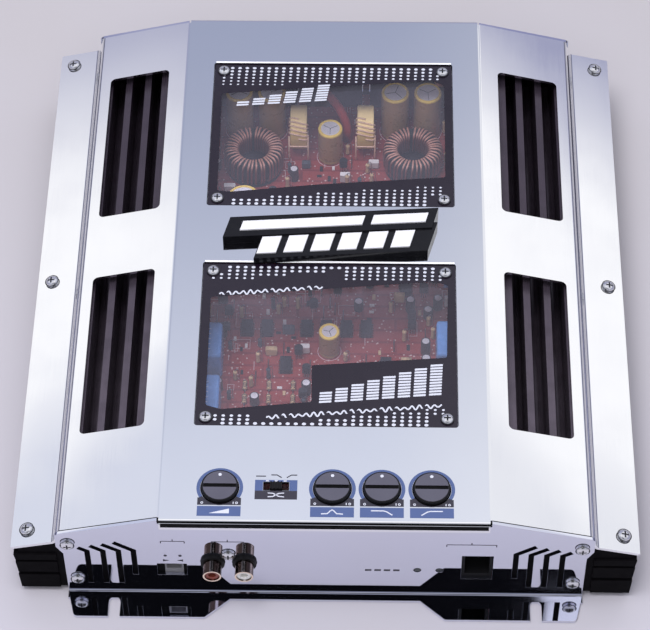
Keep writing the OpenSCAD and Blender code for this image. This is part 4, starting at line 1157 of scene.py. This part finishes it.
for k in range(9):
    x, y = -40 + k * 9.6, random.choice((-30, -8, 6, 18))
    if room(x, y, 7.4, 9.6):
        chip(x, y, 5.4, 8.6, 3.4)
for _ in range(1500):
    x, y = random.uniform(-68, 68), random.uniform(-126, 128)
    kind = random.random()
    if kind < 0.16:
        if room(x, y, 4.4, 3.6):
            transistor(x, y, random.uniform(7, 10))
    elif kind < 0.40:
        if room(x + 0.9, y, 4.4, 2.4):
            upright(x, y, random.uniform(6.5, 9.5), random.choice((tans, tans, slates)))
    elif kind < 0.52:
        if room(x, y, 5.4, 5.4):
            small_capacitor(x, y, 2.3, z0 + random.uniform(6, 10))
    elif kind < 0.66:
        w = random.uniform(4, 6)
        if room(x, y, w + 0.4, 3.2):
            film(x, y, w, random.uniform(4, 7), random.choice((whites, tans, slates)))
    elif kind < 0.80:
        if room(x, y, 1.6, 7.6):
            path = [(x, y - 3.4, z0), (x, y - 3.2, z0 + 1.0), (x, y + 3.2, z0 + 1.0), (x, y + 3.4, z0)]
            legs.tube(path, 0.28, 5)
    else:
        w, d = random.choice(((1.3, 2.4), (2.4, 1.3), (1.6, 3.2)))
        if room(x, y, w + 0.3, d + 0.3):
            random.choice((whites, tans, chips)).post(x, y, w, d, z0 + 0.02, z0 + 0.7)
small_sleeves.done("board_black", "black_plastic", replaces=["signal_capacitors"], smooth=True)
small_tops.done("aluminium_top", smooth=True)
chips.done("board_black", bevel=0.15)
slates.done("board_slate", smooth=True)
whites.done("white_plastic", bevel=0.1)
tans.done("ceramic_tan", smooth=True)
legs.done("zinc", smooth=True)


def resistors():
    """Lying resistors, thicker at both ends, with five bands and their wires bent down to the board."""
    bands, bodies, wires = Piece("resistor_bands"), Piece("resistor_bodies"), Piece("resistor_wires")
    for low, high, _ in islands("resistors"):
        x, z, y0, y1 = (low.x + high.x) / 2, (low.z + high.z) / 2, low.y, high.y
        half = [(0.4, 0), (1.05, 0.2), (1.18, 0.6), (1.12, 1.1), (0.98, 1.5)]
        profile = [(r, y0 + h) for r, h in half] + [(r, y1 - h) for r, h in half[::-1]]
        bodies.lathe((x, 0, z), profile, 14, along_y=True)
        for k, at in enumerate((0.75, 1.75, 2.45, 3.2, 4.25)):
            r, y = 1.2 if k in (0, 4) else 1.02, y0 + at
            band = [(r - 0.1, y - 0.2), (r, y - 0.19), (r, y + 0.19), (r - 0.1, y + 0.2)]
            bands.lathe((x, 0, z), band, 14, along_y=True)
        wires.tube([(x, y0 - 1.1, z0), (x, y0 - 1.0, z - 0.4), (x, y0 - 0.6, z), (x, y0 + 0.3, z)], 0.27, 6)
        wires.tube([(x, y1 - 0.3, z), (x, y1 + 0.6, z), (x, y1 + 1.0, z - 0.4), (x, y1 + 1.1, z0)], 0.27, 6)
    bodies.done("ceramic_tan", "ceramic_tan", replaces=["resistors"], smooth=True)
    bands.done("print_grey", smooth=True)
    wires.done("zinc", smooth=True)


resistors()

# Printed lines on the board
for _ in range(120):
    x, y = random.uniform(-66, 66), random.uniform(-125, 140)
    w, d = random.uniform(3, 9), random.uniform(3, 9)
    if random.random() < 0.5:
        inside = rectangle(x + 0.25, y + 0.25, x + w - 0.25, y + d - 0.25)
        silk.sheet([rectangle(x, y, x + w, y + d), inside], board_face + 0.01, board_face + 0.045)
    else:
        silk.sheet([rectangle(x, y, x + 0.3, y + d)], board_face + 0.01, board_face + 0.04)
silk.done("silk_white")


def film_capacitor_marks():
    marks = Piece("film_capacitor_marks")
    for low, high, _ in islands("film_capacitors"):
        x, z = (low.x + high.x) / 2, high.z
        for k in range(5):
            y = low.y + (high.y - low.y) * (0.2 + 0.14 * k)
            marks.sheet([rectangle(x - 1.6, y, x + 1.4, y + 0.55)], z - 0.03, z + 0.03)
    marks.done("print_pale")


def input_shade_box():
    """Painted shade: dark walls and roof round the small input socket, behind its opening in the panel, so
    that the opening looks shadowed.
    """
    low, high = cad("high_input_socket")
    roof, width, depth, gap = 33, 5, 6, 0.05
    shade_box = Piece("input_shade_box")
    for x0, x1, foot in (
        (low.x - width, low.x - gap, low.z + 0.1), (high.x + gap, high.x + width, low.z + 0.1),
        (low.x, high.x, high.z + gap),
    ):
        shade_box.block((x0, low.y + 0.2, foot), (x1, low.y + depth, roof))
    shade_box.done("deep_black")


def lip_shade_strip():
    """Painted shade: a dark strip on the front face of the cover's lip, for the shadowed line under it."""
    low, high = cad("top_cover")
    corners = [v.co / MM for v in nodes["top_cover"].data.vertices]
    half = max(abs(corner.x) for corner in corners if corner.z > high.z - 0.1) - 1.5
    shade_strip = Piece("lip_shade_strip")
    shade_strip.block((-half, low.y - 0.03, high.z - 3.2), (half, low.y + 0.02, high.z - 0.8))
    shade_strip.done("deep_black")


film_capacitor_marks()
input_shade_box()
lip_shade_strip()


# ---- painted shade in the cross recesses of the screws and round their heads ----
cross = Piece("screw_painted_shade")
HEAD = 1.2  # depth below its top in which a head is at its widest


def recess(points, axis, depth, length):
    """Painted shade: a dark floor in the cross of a screw's head, and a dark ring of painted contact shadow
    where the head meets what it holds.
    """
    width, floor_z = 0.62, -0.45
    axis = Vector(axis).normalized()
    top = max(p.dot(axis) for p in points)
    head = [p for p in points if p.dot(axis) > top - HEAD]
    low, high = extremes(head)
    centre = (low + high) / 2
    centre += axis * (top - centre.dot(axis))
    across = Vector((0, 1, 0)) if abs(axis.y) < 0.5 else Vector((1, 0, 0))
    other = axis.cross(across)

    def place(p):
        return centre + across * p.x + other * p.y + axis * p.z

    for w, h in ((length, width), (width, length)):
        cross.sheet([rectangle(-w / 2, -h / 2, w / 2, h / 2)], -depth, floor_z, place)
    spread = [((p - centre) - axis * (p - centre).dot(axis)).length for p in head]
    rim = max(spread)
    seat = min((p - centre).dot(axis) for p, r in zip(head, spread) if r > 0.93 * rim) + 0.1
    cross.sheet([disc((0, 0), rim + 0.32, 28), disc((0, 0), rim - 0.1, 28)], seat, seat + 0.03, place)


flange_tilt = math.radians(14.1)
for name in ("window_screws", "board_screws"):
    for _, _, points in islands(name):
        recess(points, (0, 0, 1), 1.0, 2.9)
for low, _, points in islands("cover_screws"):
    recess(points, (math.copysign(math.sin(flange_tilt), low.x), 0, math.cos(flange_tilt)), 1.25, 3.2)
for low, _, points in islands("panel_screws"):
    recess(points, (0, math.copysign(1, low.y), 0), 1.25, 3.2)
cross.done("board_black")


low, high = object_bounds()
